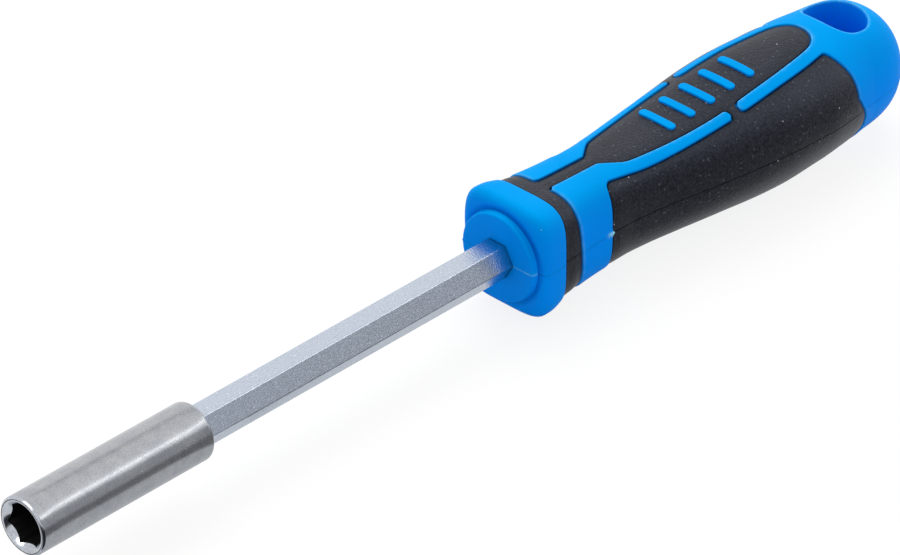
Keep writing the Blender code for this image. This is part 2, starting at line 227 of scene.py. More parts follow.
# How finely the surfaces are drawn, in millimetres and in numbers of columns and rows, and how finely the
# handle's outlines are measured first.
STEP = 0.45
ARC_STEPS = 6
EDGE_STEPS = 4
COLLAR_STEPS = 8
SLEEVE_COLUMNS = 144
MAGNET_COLUMNS = 96
FACE_ROWS = 20
RIB_ROWS = 29
BODY_SAMPLES = 900
BUTT_SAMPLES = 300
QUARTER_SAMPLES = 500

# Points nearer than SNAP to a cut move onto it. REACH is past every outline, and FAR is off every edge.
# Distances follow the slope of the surface within FIELD_REACH of an edge, measured over FIELD_STEP, and
# slopes below FIELD_STEEP count as that.
SNAP = 0.12
REACH = 20.0
FAR = 9.0
FIELD_REACH = 1.6
FIELD_STEP = 0.02
FIELD_STEEP = 0.3


def linear(colour):
    """An sRGB hex colour as linear red, green and blue."""
    values = [int(colour[i : i + 2], 16) / 255 for i in (1, 3, 5)]
    return tuple(v / 12.92 if v <= 0.04045 else ((v + 0.055) / 1.055) ** 2.4 for v in values)


def colour_property(name, description, colour):
    """A setting for a colour, from an sRGB hex value."""
    return FloatVectorProperty(name=name, description=description, subtype="COLOR", default=linear(colour))


def length_property(name, description, millimetres):
    """A setting for a length, shown to a hundredth of a millimetre."""
    default = millimetres * MM
    return FloatProperty(name=name, description=description, default=default, unit="LENGTH", precision=5)


def angle_property(name, description, degrees):
    """A setting for an angle."""
    return FloatProperty(name=name, description=description, default=math.radians(degrees), subtype="ANGLE")


class PlasticSettings(bpy.types.PropertyGroup):
    """The two plastics of the handle and the seam between them."""

    # The first blue is drawn where a face turns up and the second, deeper blue where it turns sideways and
    # down: painted light and painted shade.
    blue: colour_property("Hard plastic", "Colour of the blue polypropylene", "#0097E4")
    shaded_blue: colour_property(
        "Fresh blue", "Colour of the hard plastic where daylight has not faded it", "#008BF4"
    )
    black: colour_property("Soft plastic", "Colour of the black soft plastic", "#14161B")
    seam_width: length_property("Seam width", "Gap between the two plastics", 0.2)
    seam_depth: length_property("Seam depth", "Depth of the bed that the soft plastic lies in", 0.8)
    edge_radius: length_property("Edge radius", "Rounding of the hard plastic along the seam", 0.32)
    soft_drop: length_property("Soft plastic drop", "How far the soft plastic lies below the hard one", 0.13)
    parting_height: length_property(
        "Parting line", "Height of the line where the halves of the mould met", 0.05
    )
    hole_edge_radius: length_property("Hole edge radius", "Rounding of the hanging hole's two rims", 0.75)


class RibSettings(bpy.types.PropertyGroup):
    """The plain cross ribs on the top panel."""

    count: IntProperty(name="Ribs", description="Number of ribs", default=5, min=1, max=9)
    pitch: length_property("Pitch", "Distance from rib to rib", 4.6)
    width: length_property("Width", "Width of one rib", 1.5)
    length: length_property("Length", "Length of one rib across the panel", 7.4)
    height: length_property("Height", "Height of the ribs above the panel", 0.36)


class MetalSettings(bpy.types.PropertyGroup):
    """The steel sleeve, the hex shaft and the magnet."""

    sleeve_colour: colour_property("Sleeve", "Colour of the turned stainless steel", "#C1C3C6")
    shaft_colour: colour_property("Shaft", "Colour of the plated hex bar", "#CAD3E0")
    shaft_edge_radius: length_property("Shaft edge radius", "Rounding of the six edges of the bar", 0.26)
    socket_flats: length_property("Socket", "Size of the hex socket across its flats", 6.4)
    socket_turn: angle_property("Socket turn", "Angle of the socket's first corner", 46.7)
    mouth_radius: length_property("Socket mouth", "Radius of the countersink at the front face", 4.15)


class StageSettings(bpy.types.PropertyGroup):
    """The floor and the camera."""

    floor_colour: colour_property("Floor", "Colour of the paper floor", "#FFFFFF")
    camera_azimuth: angle_property("Camera azimuth", "Direction that the camera looks from", -45.66)
    camera_elevation: angle_property("Camera elevation", "Height of the camera above the horizon", 33.11)
    camera_roll: angle_property("Camera roll", "Turn of the picture about its middle", -0.26)
    camera_distance: FloatProperty(
        name="Camera distance",
        description="Distance from the camera to the tool",
        default=1.1666,
        unit="LENGTH",
    )
    camera_lens: FloatProperty(
        name="Lens",
        description="Focal length for a sensor 36 mm wide",
        default=300.0,
    )


class BitDriverSettings(bpy.types.PropertyGroup):
    """All settings of the tool."""

    plastic: PointerProperty(type=PlasticSettings)
    ribs: PointerProperty(type=RibSettings)
    metal: PointerProperty(type=MetalSettings)
    stage: PointerProperty(type=StageSettings)


def at(percent):
    """The distance behind the collar's face at a share of the handle's length."""
    return HANDLE_LENGTH * percent / 100


def to_world(points):
    """Millimetres along, across and up to metres in the frame."""
    return np.asarray(points, float) * MM + np.array(ORIGIN)


def new_piece(name, points, faces, finish, sharp_degrees=35.0):
    """A closed mesh in place, facing out, smooth except at sharp edges."""
    mesh = bpy.data.meshes.new(name)
    mesh.from_pydata(to_world(points).tolist(), [], faces)
    work = bmesh.new()
    work.from_mesh(mesh)
    bmesh.ops.recalc_face_normals(work, faces=work.faces)
    work.to_mesh(mesh)
    work.free()
    mesh.shade_smooth()
    mesh.set_sharp_from_angle(angle=math.radians(sharp_degrees))
    mesh.materials.append(finish)
    piece = bpy.data.objects.new(name, mesh)
    bpy.context.scene.collection.objects.link(piece)
    return piece


def hand_over(piece, node):
    """Lets a piece ride on the tool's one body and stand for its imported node."""
    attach(piece, "root")
    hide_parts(node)


def skin(rings):
    """Points and faces over rings of equal length, with a fan over the first and the last."""
    count = len(rings[0])
    points = np.concatenate([*rings, [np.mean(rings[0], axis=0)], [np.mean(rings[-1], axis=0)]])
    faces = []
    for row in range(len(rings) - 1):
        for i in range(count):
            here = row * count + i
            beside = row * count + (i + 1) % count
            faces.append((here, beside, beside + count, here + count))
    front_pole = len(points) - 2
    last = (len(rings) - 1) * count
    for i in range(count):
        j = (i + 1) % count
        faces.append((front_pole, j, i))
        faces.append((front_pole + 1, last + i, last + j))
    return points, faces


def arc(start, end, steps=ARC_STEPS):
    """Angles from start to end in degrees, both included, as radians."""
    return np.radians(np.linspace(start, end, steps + 1))


def turned_rings(profile, angles):
    """Rings about the axis from (along, radius) pairs, each a number or one value per angle."""
    rings = []
    for along, radius in profile:
        across = radius * np.cos(angles)
        up = radius * np.sin(angles)
        rings.append(np.stack([np.broadcast_to(along, across.shape), across, up], axis=1))
    return rings


def hexagon(angles, half_flats, turn):
    """The radius of a hexagon at each angle."""
    swing = np.remainder(angles - turn, math.pi / 3) - math.pi / 6
    return half_flats / np.cos(swing)


# Plan outlines of the hard plastic.


def rounded(corners):
    """An outline whose corners (along, across, radius) are turned into arcs."""
    outline = []
    for i, (x, y, radius) in enumerate(corners):
        if radius == 0:
            outline.append((x, y))
            continue
        before = corners[i - 1]
        after = corners[(i + 1) % len(corners)]
        start = math.atan2(before[1] - y, before[0] - x)
        end = math.atan2(after[1] - y, after[0] - x)
        opening = math.remainder(end - start, 2 * math.pi)
        middle = start + opening / 2
        reach = radius / abs(math.sin(opening / 2))
        centre = (x + reach * math.cos(middle), y + reach * math.sin(middle))
        half = math.pi / 2 - abs(opening) / 2
        for share in np.linspace(1, -1, ARC_STEPS + 1):
            angle = middle + math.pi + math.copysign(half * share, opening * share)
            outline.append((centre[0] + radius * math.cos(angle), centre[1] + radius * math.sin(angle)))
    return outline


def softened(outline, passes=2):
    """The outline with its corners cut at a quarter, again and again, until it runs smooth."""
    points = np.array(outline)
    for _ in range(passes):
        after = np.roll(points, -1, axis=0)
        points = np.stack([0.75 * points + 0.25 * after, 0.25 * points + 0.75 * after], axis=1).reshape(-1, 2)
    return points


def placed(edge):
    """An edge with its places in millimetres behind the collar's face."""
    return [(at(percent), half_width) for percent, half_width in edge]


def edge_at(edge, along):
    """The half width of a grip edge between two of its points."""
    points = np.array(placed(edge))
    return float(np.interp(along, points[:, 0], points[:, 1]))


def flank_outline():
    """The hard plastic that shows between ring and side grip, with its strip along the panel."""
    strip_end = at(BRIDGE_AT) - BRIDGE_WIDTH / 2
    inner = [point for point in placed(PANEL_EDGE) if point[0] < strip_end - STRIP_END_RADIUS]
    outer = [point for point in placed(GRIP_EDGE) if point[0] < strip_end - STRIP_END_RADIUS]
    corners = [(RING_REAR, STEM_WIDTH / 2, CORNER_RADIUS)]
    corners.append((at(STEM_END), STEM_WIDTH / 2, CORNER_RADIUS))
    corners.append((*inner[0], PANEL_FRONT_RADIUS))
    corners.extend((x, y, 0) for x, y in inner[1:])
    corners.append((strip_end, edge_at(PANEL_EDGE, strip_end), STRIP_END_RADIUS))
    corners.append((strip_end, edge_at(GRIP_EDGE, strip_end), STRIP_END_RADIUS))
    corners.extend((x, y, 0) for x, y in reversed(outer[1:]))
    corners.append((*outer[0], GRIP_FRONT_RADIUS))
    corners.append((at(GRIP_FRONT), outer[0][1] + 2 * CORNER_RADIUS, 0))
    corners.append((at(GRIP_FRONT), REACH, 0))
    corners.append((RING_REAR, REACH, 0))
    return softened(rounded(corners))


def cap_outline():
    """The hard plastic rear cap, with its two strips that run forward beside the panel."""
    strip_end = at(BRIDGE_AT) + BRIDGE_WIDTH / 2
    inner = [point for point in placed(PANEL_EDGE) if point[0] > strip_end + STRIP_END_RADIUS]
    outer = [point for point in placed(GRIP_EDGE) if point[0] > strip_end + STRIP_END_RADIUS]
    half = [(x, y, 0) for x, y in reversed(inner)]
    half.append((strip_end, edge_at(PANEL_EDGE, strip_end), STRIP_END_RADIUS))
    half.append((strip_end, edge_at(GRIP_EDGE, strip_end), STRIP_END_RADIUS))
    half.extend((x, y, 0) for x, y in outer[:-1])
    half.append((*outer[-1], GRIP_REAR_RADIUS))
    half.append((at(GRIP_REAR), max(row[1] for row in HANDLE_SECTIONS) / 2, 0))
    half.append((at(GRIP_REAR), REACH, 0))
    half.append((HANDLE_LENGTH + REACH, REACH, 0))
    other = [(x, -y, radius) for x, y, radius in reversed(half)]
    return softened(rounded([(at(PANEL_END), 0.0, 0), *half, *other]))


def hole_outline():
    """The hanging hole, flatter in front than behind."""
    angles = np.linspace(0, 2 * math.pi, 16 * ARC_STEPS, endpoint=False)
    cosine, sine = np.cos(angles), np.sin(angles)
    power = 2 / np.where(cosine < 0, HOLE_SQUARENESS[0], HOLE_SQUARENESS[1])
    along = HOLE_LENGTH / 2 * np.sign(cosine) * np.abs(cosine) ** power
    across = HOLE_WIDTH / 2 * np.sign(sine) * np.abs(sine) ** power
    return np.stack([HANDLE_LENGTH - HOLE_FROM_BUTT + along, across], axis=1)


def outline_distance(outline, along, across):
    """Distance of plan points from a closed outline, negative inside it."""
    nearest = np.full(along.shape, np.inf)
    inside = np.zeros(along.shape, bool)
    for (x0, y0), (x1, y1) in zip(outline, np.roll(outline, -1, axis=0)):
        dx, dy = x1 - x0, y1 - y0
        share = np.clip(((along - x0) * dx + (across - y0) * dy) / (dx * dx + dy * dy), 0, 1)
        apart = (along - x0 - share * dx) ** 2 + (across - y0 - share * dy) ** 2
        nearest = np.minimum(nearest, apart)
        if dy != 0:
            crosses = (y0 > across) != (y1 > across)
            inside ^= crosses & (along < x0 + (across - y0) * dx / dy)
    return np.where(inside, -1, 1) * np.sqrt(nearest)


def hard_distance(points):
    """Distance in plan from the hard plastic, negative on it. Its edges lean back down the sides."""
    along, up = points[:, 0] - COLLAR_FACE, points[:, 2]
    side = np.abs(points[:, 1])
    wide = side + np.interp(up, *UNDERSIDE_INSET) * np.minimum(side / UNDERSIDE_FULL, 1)
    ring = RING_REAR + np.interp(up, *RING_LEAN)
    # The side grip reaches back to its leaning end, outside the strips and with a round inner corner.
    ahead = CORNER_RADIUS - (np.interp(up, *GRIP_LEAN) - along)
    beside = CORNER_RADIUS - (wide - np.interp(along, *zip(*placed(GRIP_EDGE))))
    grip = CORNER_RADIUS - np.hypot(np.maximum(ahead, 0), np.maximum(beside, 0))
    flank = np.maximum(outline_distance(flank_outline(), along, wide), ring - along)
    cap = np.maximum(outline_distance(cap_outline(), along, wide), grip)
    return np.minimum(along - RING_FRONT, np.minimum(flank, cap))


def hole_distance(points):
    """Distance in plan from the hanging hole, negative in it."""
    return outline_distance(hole_outline(), points[:, 0] - COLLAR_FACE, np.abs(points[:, 1]))


# The handle's outer surface.


def section_value(column, along):
    """A section value at many places: a cubic through the stations that never overshoots."""
    stations = np.array([at(row[0]) for row in HANDLE_SECTIONS])
    values = np.array([row[column] for row in HANDLE_SECTIONS])
    widths = np.diff(stations)
    slopes = np.diff(values) / widths
    tangents = [slopes[0]]
    for left, right in zip(slopes, slopes[1:]):
        tangents.append(2 * left * right / (left + right) if left * right > 0 else 0.0)
    tangents = np.array([*tangents, slopes[-1]])
    i = np.clip(np.searchsorted(stations, along) - 1, 0, len(widths) - 1)
    t = np.clip((along - stations[i]) / widths[i], 0, 1)
    return (
        (1 + 2 * t) * (1 - t) ** 2 * values[i]
        + t * (1 - t) ** 2 * widths[i] * tangents[i]
        + t * t * (3 - 2 * t) * values[i + 1]
        + t * t * (t - 1) * widths[i] * tangents[i + 1]
    )


def half_sizes(along):
    """Half width, half height and squareness of the handle at many places."""
    butt = at(HANDLE_SECTIONS[-1][0])
    share = np.clip((along - butt) / (HANDLE_LENGTH - butt), 0, 1)
    scale = (1 - BUTT_TAPER * np.maximum(0, along - butt)) * np.sqrt(1 - share**BUTT_BLUNTNESS)
    lean = np.clip(1 - along / COLLAR_EDGE_RADIUS, 0, 1)
    edge = COLLAR_EDGE_RADIUS * (1 - np.sqrt(1 - lean**2))
    wide = section_value(1, along) / 2 * scale - edge
    tall = section_value(2, along) / 2 * scale - edge
    return wide, tall, section_value(3, along)


def handle_places():
    """Rows along the handle, even along its outline from the collar's edge to the butt."""
    collar = COLLAR_EDGE_RADIUS * (1 - np.cos(arc(0, 90, COLLAR_STEPS)))
    butt, tip = 1.0, 1e-4
    body = np.linspace(COLLAR_EDGE_RADIUS, HANDLE_LENGTH - butt, BODY_SAMPLES)
    fine = np.concatenate([body, HANDLE_LENGTH - np.geomspace(butt, tip, BUTT_SAMPLES)])
    _, tall, _ = half_sizes(fine)
    run = np.concatenate([[0], np.cumsum(np.hypot(np.diff(fine), np.diff(tall)))])
    end = run[tall > STEP][-1]
    even = np.interp(np.linspace(0, end, round(end / STEP)), run, fine)
    return np.concatenate([collar[:-1], even])


def handle_ring(along, wide, tall, squareness, columns):
    """One ring of the handle, even along its outline, with close columns at the parting line."""
    angles = np.linspace(0, math.pi / 2, QUARTER_SAMPLES)
    power = 2 / squareness
    across = wide * np.cos(angles) ** power
    up = tall * np.sin(angles) ** power
    across[-1] = 0.0
    run = np.concatenate([[0], np.cumsum(np.hypot(np.diff(across), np.diff(up)))])
    quarter = run[-1]
    scale = min(1.0, quarter / PARTING_QUARTER)
    close = np.array(PARTING_COLUMNS) * scale
    even = np.linspace(close[-1], quarter, columns)[1:]
    one_side = np.concatenate([close, even])
    from_side = np.concatenate([-one_side[::-1], [0.0], one_side])
    drift = np.interp(along / HANDLE_LENGTH, *PARTING_DRIFT) * scale
    hold = np.clip(1 - np.abs(from_side) / (PARTING_HOLD * scale), 0, 1)
    moved = from_side + drift * hold * hold * (3 - 2 * hold)
    y = np.interp(np.abs(moved), run, across)
    z = np.sign(moved) * np.interp(np.abs(moved), run, up)
    half = np.stack([np.full(y.shape, COLLAR_FACE + along), y, z], axis=1)
    other = half[-2:0:-1] * (1, -1, 1)
    return np.concatenate([half, other])


def handle_rings():
    """All rings of the hard plastic: the bore from its end to the collar, then outside to the butt."""
    places = handle_places()
    wide, tall, squareness = half_sizes(places)
    columns = round(float(np.max(tall + wide)) * math.pi / 4 / STEP) + 1
    outer = [handle_ring(*row, columns) for row in zip(places, wide, tall, squareness)]
    first = outer[0]
    angles = np.arctan2(first[:, 2], first[:, 1])
    bulb_end = CORE_END - COLLAR_FACE + GAP
    bore = (
        (bulb_end, BORE_RADIUS),
        (bulb_end - BULB_CONE, BULB_RADIUS),
        (BULB_FRONT, BULB_RADIUS),
        (BULB_FRONT - BULB_CONE, BORE_RADIUS),
        (GAP, BORE_RADIUS),
        (0, BORE_RADIUS + GAP),
    )
    inner = turned_rings([(COLLAR_FACE + along, radius) for along, radius in bore], angles)
    face = [inner[-1] + (first - inner[-1]) * share for share in np.linspace(0, 1, FACE_ROWS)[1:-1]]
    for ring in (*face, *outer):
        distance = np.hypot(ring[:, 1], ring[:, 2])
        near = np.exp(-(((distance - FLANGE_RADIUS) / FOOT_WIDTH) ** 2))
        ring[:, 0] += FOOT_DEPTH * near * (ring[:, 0] < COLLAR_FACE + COLLAR_EDGE_RADIUS)
    return [*inner, *face], outer


class Surface:
    """A grid of points with the direction out of the surface at each."""

    def __init__(self, points, faces):
        self.points = points
        self.faces = faces
        self.normals = np.zeros_like(points)
        for face in faces:
            a, b, c = points[face[0]], points[face[1]], points[face[2]]
            d = points[face[-1]]
            self.normals[list(face)] += np.cross(c - a, d - b) if len(face) == 4 else np.cross(b - a, c - a)
        self.normals /= np.linalg.norm(self.normals, axis=1, keepdims=True)


def surface_field(distance, points, normals):
    """A distance measured along the surface, and the direction in which it grows."""
    values = distance(points)
    grows = np.zeros_like(points)
    close = np.abs(values) < FIELD_REACH
    here = points[close]
    slopes = [distance(here + step) - distance(here - step) for step in FIELD_STEP * np.eye(3)]
    slopes = np.stack(slopes, axis=1) / (2 * FIELD_STEP)
    flat = slopes - normals[close] * np.sum(slopes * normals[close], axis=1, keepdims=True)
    steep = np.maximum(np.linalg.norm(flat, axis=1), FIELD_STEEP)
    grows[close] = flat / steep[:, None]
    values[close] = values[close] / steep
    return values, grows


def split_faces(faces, value, cuts, start):
    """Splits faces where the value passes zero. New points are listed as (from, to, share)."""
    below, above, fresh = [], [], {}

    def crossing(i, j):
        low, high = min(i, j), max(i, j)
        if (low, high) not in fresh:
            fresh[low, high] = start + len(cuts)
            cuts.append((low, high, value[low] / (value[low] - value[high])))
        return fresh[low, high]

    for face in faces:
        values = [value[i] for i in face]
        if max(values) <= 0:
            below.append(face)
            continue
        if min(values) >= 0:
            above.append(face)
            continue
        turn = 1 if len(face) == 4 and abs(values[0] - values[2]) > abs(values[1] - values[3]) else 0
        face = face[turn:] + face[:turn]
        for corners in [(face[0], face[k], face[k + 1]) for k in range(1, len(face) - 1)]:
            low, high = [], []
            for i, j in zip(corners, corners[1:] + corners[:1]):
                if value[i] <= 0:
                    low.append(i)
                if value[i] >= 0:
                    high.append(i)
                if value[i] * value[j] < 0:
                    low.append(crossing(i, j))
                    high.append(low[-1])
            if min(value[i] for i in corners) < 0 or max(value[i] for i in corners) <= 0:
                below.append(tuple(low))
            if max(value[i] for i in corners) > 0:
                above.append(tuple(high))
    return below, above


def points_of(shapes):
    """The points that faces or edges use, in order."""
    return np.array(sorted({i for shape in shapes for i in shape}))


def open_edges(faces):
    """Directed edges that only one face has."""
    edges = {edge for face in faces for edge in zip(face, face[1:] + face[:1])}
    return sorted(edge for edge in edges if edge[::-1] not in edges)


def strips(edges, rails):
    """Faces that run down from open edges along the rails of their points."""
    faces = []
    for a, b in edges:
        for k in range(len(rails[a]) - 1):
            faces.append((rails[b][k], rails[a][k], rails[a][k + 1], rails[b][k + 1]))
    return faces


def rounded_edge(points, out, down, radius):
    """Rows of points that bend from the surface, going out, to a wall that goes down."""
    corner = points + out * radius
    foot = corner + down * radius
    rows = []
    for t in np.linspace(0, 1, EDGE_STEPS + 1)[1:]:
        rows.append((1 - t) ** 2 * points + 2 * t * (1 - t) * corner + t * t * foot)
    return rows


class Patch:
    """A growing list of points with their normals, their pull across the seam and two marks.

    The marks say how far a point is on the parting line and on an edge; on the hard plastic the edge mark
    is a painted highlight, and below zero a painted shade.
    """

    def __init__(self, points, normals, parting):
        self.points, self.normals = points, normals
        self.pull = np.zeros_like(points)
        self.marks = np.stack([parting, np.zeros_like(parting)], axis=1)

    def add_cuts(self, cuts):
        """Adds points on edges, listed as (from, to, share)."""
        low, high, share = (np.array(column) for column in zip(*cuts))
        share = share[:, None]
        for name in ("points", "normals", "pull", "marks"):
            values = getattr(self, name)
            mixed = values[low] * (1 - share) + values[high] * share
            if name in ("normals", "pull"):
                mixed /= np.maximum(np.linalg.norm(mixed, axis=1, keepdims=True), 1e-9)
            setattr(self, name, np.concatenate([values, mixed]))

    def add_points(self, points, edge=0.0):
        """Adds loose points with their edge mark and returns their places in the list."""
        start = len(self.points)
        self.points = np.concatenate([self.points, points])
        marks = np.zeros((len(points), 2))
        marks[:, 1] = edge
        self.marks = np.concatenate([self.marks, marks])
        return np.arange(start, start + len(points)).tolist()

    def rails(self, ends, rows, edges):
        """Rows of new points under the end points, as a list of points for each of them."""
        rails = {i: [i] for i in ends.tolist()}
        for row, edge in zip(rows, edges):
            for i, index in zip(ends.tolist(), self.add_points(row, edge)):
                rails[i].append(index)
        return rails


def snapped(points, value, grows, reach):
    """Moves points that lie close to a cut onto it, so that no slivers are left beside it."""
    near = np.abs(value) < reach
    points = points.copy()
    value = value.copy()
    points[near] -= grows[near] * value[near][:, None]
    value[near] = 0.0
    return points, value


def cut_at(patch, faces, value, pull):
    """Cuts faces where the value passes zero. Returns both sides' faces and the value at every point."""
    patch.points, value = snapped(patch.points, value, pull, SNAP)
    patch.pull = pull
    cuts = []
    start = len(patch.points)
    below, above = split_faces(faces, value, cuts, start)
    patch.add_cuts(cuts)
    value = np.concatenate([value, np.zeros(len(cuts))])
    return below, above, value


def compact(patch, faces):
    """Drops the points that no face uses."""
    used = np.unique(np.concatenate([np.array(face) for face in faces]))
    place = np.full(len(patch.points), -1)
    place[used] = np.arange(len(used))
    return patch.points[used], [tuple(int(place[i]) for i in face) for face in faces], patch.marks[used]


def add_marks(piece, marks):
    """Keeps the marks of every point, and how far it faces up, where the piece's material can read them."""
    normals = np.empty(3 * len(marks))
    piece.data.vertex_normals.foreach_get("vector", normals)
    columns = (*marks.T, np.clip(normals[2::3], 0, 1))
    for name, values in zip(("parting", "edge", "upward"), columns):
        attribute = piece.data.attributes.new(name, "FLOAT", "POINT")
        attribute.data.foreach_set("value", values.astype(np.float32))


def parting_offset(count):
    """The mould's parting line at each column of a ring, one on it and zero off it."""
    half = count // 2
    close = len(PARTING_COLUMNS)
    offset = np.zeros(count)
    for middle in (half // 2, half + half // 2):
        for step in range(-close, close + 1):
            distance = 0.0 if step == 0 else PARTING_COLUMNS[abs(step) - 1]
            offset[(middle + step) % count] = math.exp(-((distance / PARTING_WIDTH) ** 2))
    return offset


def handle_surface():
    """The handle's skin with its fields: distance from the hard plastic and from the hole."""
    inner, outer = handle_rings()
    points, faces = skin([*inner, *outer])
    surface = Surface(points, faces)
    count = len(outer[0])
    outside = np.zeros(len(points), bool)
    outside[len(inner) * count : -2] = True
    fade = [min(1.0, np.abs(ring[:, 1]).max() / PARTING_FADE) for ring in outer]
    ridge = np.zeros(len(points))
    ridge[outside] = np.tile(parting_offset(count), len(outer)) * np.repeat(fade, count)
    hard = np.full(len(points), -FAR)
    hole = np.full(len(points), FAR)
    hard_grows = np.zeros_like(points)
    hole_grows = np.zeros_like(points)
    seen, normals = points[outside], surface.normals[outside]
    hard[outside], hard_grows[outside] = surface_field(hard_distance, seen, normals)
    hole[outside], hole_grows[outside] = surface_field(hole_distance, seen, normals)
    return surface, ridge, (hard, hard_grows), (hole, hole_grows)


def highlight_share(out):
    """How much painted highlight an edge that faces this way gets or, below zero, how much painted shade."""
    return np.clip(HIGHLIGHT_GAIN * out @ HIGHLIGHT_SIDE, -1, 1)


def edge_marks(out):
    """Marks for the rows of a rounded edge, painted highlight on the lit side and painted shade on the other,
    and for its wall, which gets painted shade only.
    """
    share = highlight_share(out)
    rows = []
    for painted_highlight, painted_shade in zip(HIGHLIGHT_MARKS, SHADE_MARKS):
        rows.append(np.where(share > 0, painted_highlight * share, painted_shade * share))
    return [*rows, np.minimum(share, 0)]


def add_flash(points, marks, along):
    """Pulls out the nib of flash that the mould left where its parting line meets an edge on the near side,
    with a painted highlight.
    """
    on_line, window, ahead, skin_depth, least = 0.8, 0.6, 0.2, 0.5, 0.02
    behind = points[:, 0] - along
    line = (marks[:, 0] > on_line) & (points[:, 1] < 0) & (np.abs(behind + window) < window)
    height = points[line, 2].mean()
    share = np.exp(-(((behind + ahead) / FLASH_LENGTH) ** 2) - ((points[:, 2] - height) / FLASH_HEIGHT) ** 2)
    share *= (points[:, 1] < points[line, 1].mean() + skin_depth) * (share > least)
    points += share[:, None] * FLASH_PULL
    marks[:, 0] *= 1 - share
    marks[:, 1] += FLASH_MARK * share


def hard_shell_mesh(plastic):
    """The hard plastic: its outside, rounded seams, the bed of the soft plastic and the hole."""
    surface, parting, (hard, hard_grows), (hole, hole_grows) = handle_surface()
    radius = plastic.edge_radius / MM
    depth = plastic.seam_depth / MM
    rim = plastic.hole_edge_radius / MM
    height = parting * plastic.parting_height / MM
    patch = Patch(surface.points + surface.normals * height[:, None], surface.normals, parting)
    kept, _, hole_value = cut_at(patch, surface.faces, HOLE_RIM_SHARE * rim - hole, -hole_grows)
    hole_pull = patch.pull.copy()
    added = len(hole_value) - len(hard)
    hard = np.concatenate([hard, np.full(added, -FAR)])
    hard_grows = np.concatenate([hard_grows, np.zeros((added, 3))])
    level = plastic.seam_width / MM / 2 + radius
    top, bed, seam_value = cut_at(patch, kept, hard + level, hard_grows)
    rim_points = set(np.flatnonzero(hole_value == 0).tolist())
    edges = open_edges(top)
    hole_edges = [edge for edge in edges if rim_points.issuperset(edge)]
    seam_edges = [edge for edge in edges if not rim_points.issuperset(edge)]
    faces = list(top)

    seam = points_of(seam_edges)
    out, normals = patch.pull[seam], patch.normals[seam]
    rows = rounded_edge(patch.points[seam], out, -normals, radius)
    rows.append(patch.points[seam] + out * radius - normals * depth)
    # Rounded seam edges: painted highlight where they face the lit side, painted shade on the rest and on the
    # wall; the brink gets a faint painted highlight.
    rails = patch.rails(seam, rows, edge_marks(out))
    patch.marks[seam, 1] = BRINK_MARK * np.maximum(highlight_share(out), 0)
    faces.extend(strips(seam_edges, rails))

    low = points_of(bed)
    value = seam_value[low]
    slide = np.where(value < BED_RUN * radius, radius - value / BED_RUN, 0.0)
    sunk = patch.points[low] + patch.pull[low] * slide[:, None] - patch.normals[low] * depth
    place = dict(zip(low.tolist(), patch.add_points(sunk)))
    place.update({i: rail[-1] for i, rail in rails.items()})
    faces.extend(tuple(place[i] for i in face) for face in bed)

    ring = points_of(hole_edges)
    up = np.sign(patch.points[ring][:, 2])
    down = np.stack([np.zeros_like(up), np.zeros_like(up), -up], axis=1)
    rows = rounded_edge(patch.points[ring], hole_pull[ring], down, rim)
    foot = rows[-1]
    rows.extend(foot * (1, 1, share) for share in HOLE_ROWS)
    # The hole's rim rows get a painted highlight.
    rails = patch.rails(ring, rows, (*HOLE_MARKS, *[0.0] * len(HOLE_ROWS)))
    waist = {}
    for i, point in zip(ring.tolist(), foot):
        key = tuple(np.round(point[:2], 3))
        if key not in waist:
            waist[key] = patch.add_points(point[None] * (1, 1, 0))[0]
        rails[i].append(waist[key])
    if len(waist) * 2 != len(ring):
        raise RuntimeError("the hole's two rims do not match")
    faces.extend(strips(hole_edges, rails))
    points, faces, marks = compact(patch, faces)
    add_flash(points, marks, COLLAR_FACE + at(GRIP_FRONT))
    return points, faces, marks


def soft_grip_mesh(plastic):
    """The soft plastic: its outside, rounded seams and the side that lies in the bed."""
    surface, parting, (hard, hard_grows), _ = handle_surface()
    radius = SOFT_EDGE * plastic.edge_radius / MM
    depth = plastic.seam_depth / MM - SOFT_CLEARANCE * plastic.soft_drop / MM
    level = plastic.seam_width / MM / 2 + radius
    hollow = SEAM_HOLLOW * np.exp(-((np.maximum(hard - level, 0) / SEAM_HOLLOW_WIDTH) ** 2))
    groove = parting**GROOVE_POWER * GROOVE_DEPTH * plastic.parting_height / MM
    drop = plastic.soft_drop / MM + hollow + groove
    patch = Patch(surface.points - surface.normals * drop[:, None], surface.normals, parting)
    top, _, _ = cut_at(patch, surface.faces, level - hard, -hard_grows)
    hollow = np.concatenate([hollow, np.full(len(patch.points) - len(hollow), SEAM_HOLLOW)])
    edges = open_edges(top)
    seam = points_of(edges)
    out, normals = patch.pull[seam], patch.normals[seam]
    rows = rounded_edge(patch.points[seam], out, -normals, radius)
    rows.append(patch.points[seam] + out * radius - normals * (depth - hollow[seam])[:, None])
    # The seam's rounded edge gets edge mark 1, which the material paints near black as painted shade.
    rails = patch.rails(seam, rows, [1.0] * len(rows))
    patch.marks[seam, 1] = 1.0
    faces = [*top, *strips(edges, rails)]
    low = points_of(top)
    sunk = patch.points[low] - patch.normals[low] * (depth - hollow[low])[:, None]
    place = dict(zip(low.tolist(), patch.add_points(sunk)))
    place.update({i: rail[-1] for i, rail in rails.items()})
    faces.extend(tuple(place[i] for i in reversed(face)) for face in top)
    return compact(patch, faces)


# Materials.


def add(tree, kind, feeds=None, **settings):
    """Adds a node with its settings. Each input gets a value, another node's socket or its first output."""
    node = tree.nodes.new(kind)
    for name, value in settings.items():
        setattr(node, name, value)
    for name, value in (feeds or {}).items():
        socket = node.inputs[name]
        if isinstance(value, bpy.types.Node):
            value = next(output for output in value.outputs if output.enabled)
        if isinstance(value, bpy.types.NodeSocket):
            tree.links.new(value, socket)
        elif socket.type == "RGBA":
            socket.default_value = (*value, 1)
        else:
            socket.default_value = value
    return node


